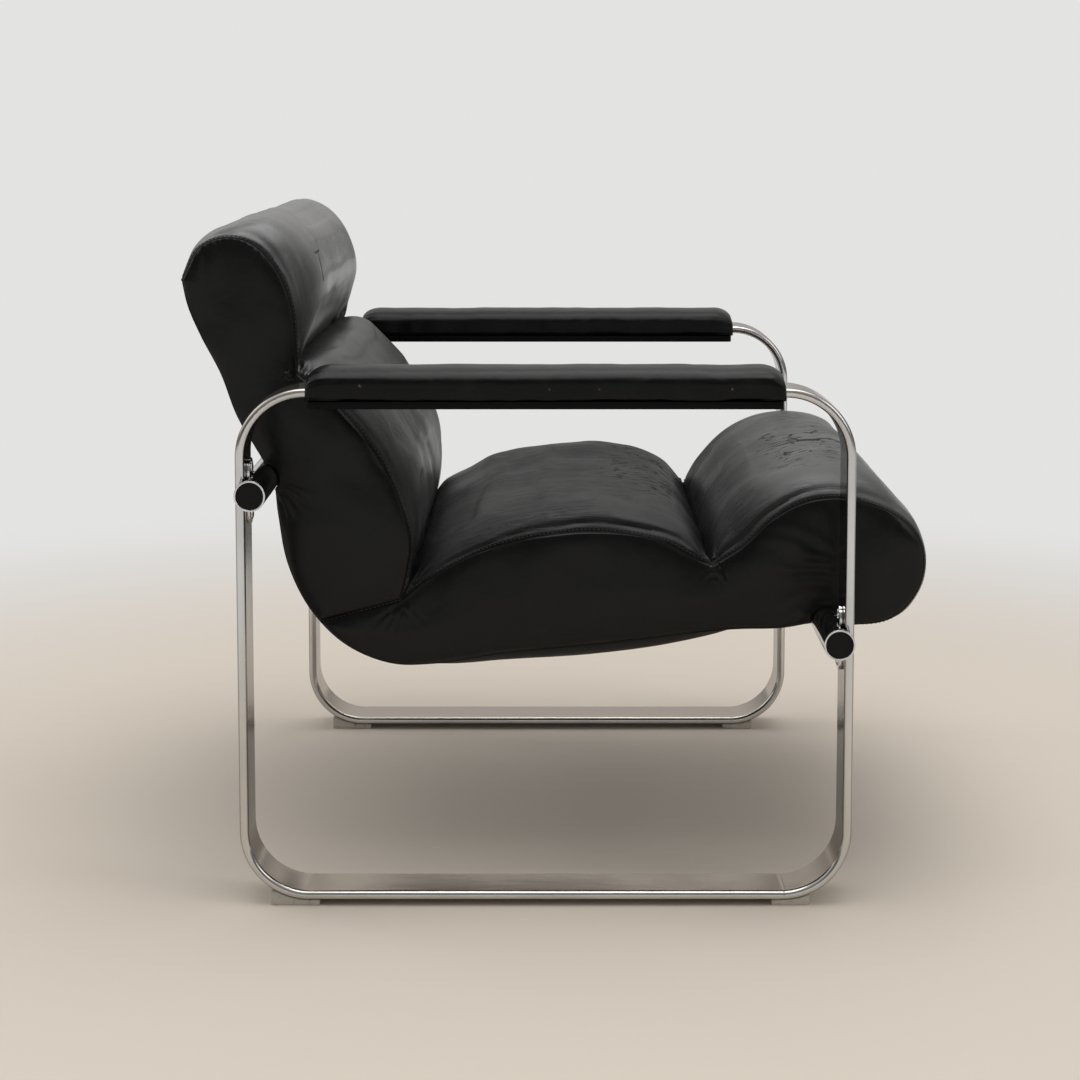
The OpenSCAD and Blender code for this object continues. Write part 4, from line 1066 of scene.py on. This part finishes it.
def panel(name, ring, side, swell, finish):
    """A closed panel over an outline in X and Z, with a fine mesh that swells away from its edge."""
    for bar in (rear_bar, front_bar):
        ring = around_bar(ring, bar, bar_clear)
    closed = np.vstack([ring, ring[:1]])
    low, high = ring.min(0), ring.max(0)
    step = 3.6 * MM
    xs, zs = np.meshgrid(np.arange(low[0], high[0], step), np.arange(low[1], high[1], step * 0.87))
    xs = xs + (np.arange(xs.shape[0]) % 2)[:, None] * step / 2
    inner = np.stack([xs.ravel(), zs.ravel()], 1)
    inner = inner[within(inner, ring)]
    inner = inner[far_from(inner, closed) > 4.8 * MM]
    loops = []
    sides = left_of(np.vstack([ring[-1], ring, ring[0]]))[1:-1]
    for inset in (0.5 * MM, 1.2 * MM, 2.3 * MM, 3.6 * MM):
        for sign in (1, -1):
            moved = ring + sign * inset * sides
            moved = moved[within(moved, ring)]
            loops.append(moved[far_from(moved, closed) > inset * 0.85])
    points = np.vstack([ring] + loops + [inner])
    n = len(ring)
    border = [list(range(n))]
    merge_distance = 0.0001 * MM
    found, _, triangles, *_ = delaunay_2d_cdt([Vector(p) for p in points], [], border, 1, merge_distance)
    flat = np.array(found)
    edge = far_from(flat, closed)
    edge[:n] = 0
    lift = 1 - np.exp(-edge / (6.5 * MM))
    seam_out = inner_half + 0.4 * MM
    out = seam_out + lift * (shell_half - seam_out) + swell * (1 - np.exp(-edge / (32 * MM)))
    out += panel_relief(flat, edge, 5 if side > 0 else 9)
    outer = np.column_stack([flat[:, 0], side * np.maximum(out, seam_out), flat[:, 1]])
    _, _, backing, *_ = delaunay_2d_cdt([Vector(p) for p in ring], [], border, 1, merge_distance)
    back = np.column_stack([ring[:, 0], np.full(n, side * (inner_half - 0.4 * MM)), ring[:, 1]])
    size = len(flat)
    faces = [tuple(t) for t in triangles] + [tuple(v + size for v in reversed(t)) for t in backing]
    faces += [(b, a, a + size, b + size) for a, b in zip(range(n), [*range(1, n), 0])]
    lay = np.column_stack([flat[:, 0], flat[:, 1], edge])
    return solid(name, np.vstack([outer, back]), faces, finish, 60, np.vstack([lay, lay[:n]]))


side_seam_station = 0.425
back_ring = np.vstack([seam_lines["headrest"][:-1:2], seam_lines["back"][::2],
                       rear_at(np.linspace(side_seam_station, 0, 160), 0)[:-1]])
seat_ring = np.vstack([seam_lines["seat"][:-1:2], seam_lines["front_roll"][::2],
                       rear_at(np.linspace(1, side_seam_station, 190), 0)[1:]])
for side, word in ((1, "left"), (-1, "right")):
    for part, ring, swell in (("back", back_ring, 6 * MM), ("seat", seat_ring, 6.5 * MM)):
        made = panel(f"{word}_{part}_gusset", ring, side, swell, gusset)
        placed(made, "side_leather", f"{word}_{part}_side_panel")
join_start, join_end = seat_corner, rear_at(side_seam_station, 0)[0]
run = np.linspace(0.02, 0.97, 30)[:, None]
join = join_start + run * (join_end - join_start) + np.array([1.4, 1.1]) * MM
sewn("panel_join_stitches", [np.column_stack([join[:, 0], np.full(30, side * (shell_half + 0.8 * MM)), join[:, 1]])
                             for side in (1, -1)])

# Rear padding: a thin pad down the back and under the seat, in the same leather,
# which the rear crossbar presses in.
rear_leather = leather("black_rear_leather", 0.006, 0.43)
lining_start, lining_end = 0.565, 0.91


def under_rows(first, last, rise, depth, columns):
    """Rows over a stretch of the rear outline that swells outwards at mid width."""
    stations = np.linspace(first, last, columns)
    swell = np.sqrt(np.clip(np.sin(np.pi * (stations - first) / (last - first)), 0, 1))
    return [rear_at(stations, (-rise * crown_at(u) * swell)[:, None] + depth) for u in across]


outer = grid_of(under_rows(0, lining_start, 4 * MM, 0, roll_columns), across * inner_half)
wide, along, beside = flat_places(outer)
height = 1.5 * MM * dents(wide, along, 120 * MM, 71)
height += 0.5 * MM * dents(wide, along * 0.3, 28 * MM, 72) * np.clip(dents(wide, along, 150 * MM, 73), 0, 1)
seam_pull = np.exp(-beside / (16 * MM)) * ramp(beside, 4 * MM)
height += 0.9 * MM * seam_pull * dents(along, beside * 0.2, 20 * MM, 74)
height = np.clip(height, -1.5 * MM, 3 * MM) * ramp(from_edges(along, beside), 14 * MM)
outer -= outwards(outer) * height[:, :, None]
# the rear crossbar presses the pad in
off = outer[:, :, (0, 2)] - rear_bar
near = np.linalg.norm(off, axis=2) < bar_clear
pressed = rear_bar[0] + np.sqrt(np.clip(bar_clear ** 2 - off[:, :, 1] ** 2, 0, None))
outer[:, :, 0] = np.where(near, pressed, outer[:, :, 0])
inner = grid_of(under_rows(0, lining_start, 0, pad_depth, roll_columns), across * inner_half)
rear_pad = solid("rear_pad", *shell(inner, outer), rear_leather)
placed(rear_pad, "rear_leather", "rear_cover", "rear_foam")

stations = np.linspace(lining_end, 1, 25)
lower = grid_of([rear_at(stations, 0)] * roll_rows, across * inner_half)
upper = grid_of([rear_at(stations, pad_depth - 0.3 * MM)] * roll_rows, across * inner_half)
underside_pad = solid("underside_pad", *shell(upper, lower), rear_leather)
placed(underside_pad, "rear_leather", "front_underside_pad")

# Bottom lining: a loose black cloth stapled under the seat, which sags
# between its edges.
canvas = Finish("black_lining_cloth", specular_ior_level=0.2, sheen_weight=0.1)
warp = canvas.maths("SINE", canvas.x * 6000)
weft = canvas.maths("SINE", canvas.y * 6000)
canvas.paint(canvas.noise(60, 3), 0.006, 0.014)
canvas.set("Roughness", 0.85 + warp * weft * 0.1)
canvas.set("Normal", canvas.bump(warp * weft, 0.1 * MM, 0.5, canvas.bump(canvas.noise(25, 2), 2 * MM)))
sag = 26 * MM
lining_columns = 121
lining_outer = grid_of(under_rows(lining_start, lining_end, sag, 0, lining_columns), across * inner_half)
wide, along, beside = flat_places(lining_outer)
waves = 1.8 * MM * dents(wide, along * 0.35, 80 * MM, 81) * ramp(from_edges(along, beside), 30 * MM)
lining_outer += outwards(lining_outer) * waves[:, :, None]
cloth_thickness = 1.2 * MM
lining_inner = lining_outer + np.array([0, 0, cloth_thickness])
lining = solid("bottom_lining_cloth", *shell(lining_inner, lining_outer), canvas)
placed(lining, "lining", "bottom_lining")

# Armrests: foam over a wooden core round the top run of the tube, in a sewn
# leather cover, closed below by a leather strip that takes the screws.
wood = Finish("beech_core")
grain_lines = wood.noise(14, 4, 0.6, wood.stretched((0.4, 6, 6)))
wood.paint(grain_lines, (0.42, 0.27, 0.14), (0.56, 0.38, 0.2))
wood.set("Roughness", 0.6 + grain_lines * 0.15)
wood.set("Normal", wood.bump(grain_lines, 0.2 * MM))
dressed(wood, "left_armrest_core", "right_armrest_core")
dressed(zinc, "left_armrest_screws", "right_armrest_screws")
# painted shade: the armrest cover gets a darker copy of the black leather than the rolls, for the shade on its
# sides
sleeve = leather("black_armrest_leather", 0.003, 0.36)
sleeve.set("Specular IOR Level", 0.16)
# pale specks where the finish has gone
scuff = 0
for x, z, reach in ((-0.2075, 0.5585, 1.4), (-0.011, 0.555, 0.9), (0.041, 0.555, 0.9), (0.179, 0.555, 1.1)):
    scuff = scuff + sleeve.bell(sleeve.x, x, reach * MM) * sleeve.bell(sleeve.z, z, reach * MM)
scuff = scuff * sleeve.step(-sleeve.y, 0.36, 0.365) * sleeve.step(sleeve.noise(900, 3), 0.4, 0.6)
sleeve.paint(scuff, sleeve.colour(sleeve.bloom, 0.003, (0.008, 0.008, 0.0076)), (0.2, 0.13, 0.1))
# painted shade: the strip gets the darkest copy of the black leather, as it lies in the shade under the pad
strip_leather = leather("black_strip_leather", 0.0012, 0.36)
strip_leather.set("Specular IOR Level", 0.1)
ring_count = 120
turn = np.linspace(0, 2 * math.pi, ring_count, endpoint=False)
roundness = np.where(np.sin(turn) < 0, 9, 2.25)
end_run = 25 * MM
end_rise = 11 * MM
end_draw = 6 * MM
tube_middle = frame_high.z - tube_thickness / 2
slack = 0.3 * MM


def squared(c, power):
    return np.sign(c) * np.abs(c) ** (2 / power)


def block(name, low, high, rounding=0.0):
    """A bar along X with rounded sides, to cut a slot with."""
    middle, half = (np.array(high) + low) / 2, (np.array(high) - low) / 2
    arc = np.linspace(-math.pi / 2, math.pi / 2, 9 if rounding else 2)
    right = np.stack([half[1] - rounding + rounding * np.cos(arc), half[2] * np.sin(arc)], 1)
    ring = middle[1:] + np.vstack([right, -right])
    ends = [np.column_stack([np.full(len(ring), x), ring]) for x in (low[0], high[0])]
    return solid(name, *lofted(ends), sleeve)


for side, word in ((1, "left"), (-1, "right")):
    low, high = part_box(f"{word}_armrest_cover")
    arm_x, middle = (low.x + high.x) / 2, side * frame_y
    half_length, half_width = (high.x - low.x) / 2, (high.y - low.y) / 2
    near_end = end_run * (1 - (1 - np.linspace(0, 1, 22)) ** 2)
    stations = np.concatenate([
        near_end - half_length, np.linspace(end_run - half_length, half_length - end_run, 110)[1:-1],
        half_length - near_end[::-1]])
    rings = []
    for x in stations:
        run = (abs(x) - half_length + end_run) / end_run
        full = math.sqrt(max(0, 1 - run * run)) if run > 0 else 1
        half = half_width - end_draw * (1 - full)
        top = tube_middle + end_rise + (high.z - 1 * MM - tube_middle - end_rise) * full
        y, z = half * squared(np.cos(turn), roundness), (top - low.z) / 2 * squared(np.sin(turn), roundness)
        dent = 0.7 * MM * dents(x, turn * 0.02, 90 * MM, 91 + side)
        dent += 0.3 * MM * dents(x, turn * 0.012, 26 * MM, 95 + side)
        dent += 0.5 * MM * math.exp((abs(x) - half_length) / (30 * MM)) * np.sin(turn * 17 + side)
        shrink = 1 - (0.8 * MM - np.minimum(dent, 0.8 * MM)) / half_width
        rings.append(np.column_stack([np.full(ring_count, arm_x + x), middle + y * shrink,
                                      (top + low.z) / 2 + z * shrink]))
    pad = solid(f"{word}_armrest_pad", *lofted(rings), sleeve, 50)
    core_low, core_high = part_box(f"{word}_armrest_core")
    tube_half = (frame_high.y - frame_low.y) / 2 + slack
    cutters = [
        block("tube_slot", (low.x - 0.1, middle - tube_half, frame_high.z - tube_thickness - slack),
              (high.x + 0.1, middle + tube_half, frame_high.z + slack), tube_thickness / 2 + slack),
        block("core_slot", [c - slack for c in core_low], [c + slack for c in core_high]),
    ]
    for cutter in cutters:
        cut_out = pad.modifiers.new(cutter.name, "BOOLEAN")
        cut_out.operation = "DIFFERENCE"
        cut_out.solver = "EXACT"
        cut_out.object = cutter
    settle(pad)
    for cutter in cutters:
        bpy.data.objects.remove(cutter)
    shaded(pad.data, 50)
    placed(pad, "armrest_leather", f"{word}_armrest_cover", f"{word}_armrest_foam")
    # the strip is covered too, so it reaches the pad's sides and ends
    strip = eased(f"{word}_armrest_strip", f"{word}_armrest_base", strip_leather, 1.6 * MM, 4)
    low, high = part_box(f"{word}_armrest_base")
    longer = (2 * half_length - 5 * MM) / (high.x - low.x)
    wider = (2 * half_width - 3 * MM) / (high.y - low.y)
    for vertex in strip.data.vertices:
        vertex.co.x = arm_x + (vertex.co.x - arm_x) * longer
        vertex.co.y = middle + (vertex.co.y - middle) * wider
        vertex.co.z += 1 * MM if vertex.co.z > (low.z + high.z) / 2 else 0
    placed(strip, "armrest_base", f"{word}_armrest_base")

# Studio: a pale warm floor that fades into a pale backdrop, one large soft light
# overhead and behind, and two weaker ones from the sides.
wide_floor = [(-30, -30, 0), (30, -30, 0), (30, 30, 0), (-30, 30, 0)]
floor = linked("floor", mesh_of("floor", wide_floor, [(0, 1, 2, 3)]))
backdrop = (0.77, 0.77, 0.76)
ground = Finish("pale_floor", roughness=0.75)
ground.set("Base Color", rgba((0.7, 0.62, 0.53)))
distance = (ground.x ** 2 + ground.y ** 2) ** 0.5
plain = ground.node("ShaderNodeEmission", {}, {"Color": rgba(backdrop)})
fade = ground.node("ShaderNodeMixShader", {}, {
    0: ground.step(distance, 0.7, 2.1) * ground.rays("Camera", "Glossy"),
    1: Wire(ground, ground.surface.outputs[0]),
    2: plain,
})
ground.join(fade, ground.tree.nodes["Material Output"].inputs["Surface"])
floor.data.materials.append(ground.material)
floor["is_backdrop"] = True


def lamp(name, place, aim, size, watts):
    data = bpy.data.lights.new(name, "AREA")
    data.shape = "RECTANGLE"
    data.size, data.size_y = size
    data.energy = watts
    made = linked(name, data)
    made.location = place
    made.rotation_euler = (Vector(aim) - Vector(place)).to_track_quat("-Z", "Y").to_euler()


lamp("overhead", (0.1, -0.1, 2.6), (0, 0, 0.3), (2.4, 2.0), 40)
lamp("front_side", (2.6, -1.4, 1.9), (0, 0, 0.3), (1.2, 1.6), 9)
lamp("rear_side", (-2.6, 0.6, 1.8), (0, 0, 0.4), (1.4, 1.8), 12)

world = bpy.data.worlds.new("studio")
bpy.context.scene.world = world
world.use_nodes = True
studio = Graph(world.node_tree)
aside, back, up = studio.split(studio.node("ShaderNodeTexCoord", out="Generated"))
height = studio.step(up, -0.35, 0.75)
behind = studio.step(back, -0.75, 0.15)
window = studio.bell(back, -1, 0.04)
level = (0.06 + height * 0.9) * (0.25 + behind * 0.75) + window * 0.5
sideways = studio.bell(abs(aside), 0.8, 0.2) * (1 - studio.step(up, 0.1, 0.5))
gloss = studio.colour(sideways * 0.8, studio.colour(level, 0, (1, 0.99, 0.975)), (0.045, 0.03, 0.022))
around = studio.colour(studio.rays("Glossy", "Transmission"), studio.colour(height, 0.22, 0.5), gloss)
seen = studio.colour(studio.rays("Camera"), around, backdrop)
studio.join(seen, world.node_tree.nodes["Background"].inputs["Color"])

bpy.context.scene.view_settings.view_transform = "Standard"
low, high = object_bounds()
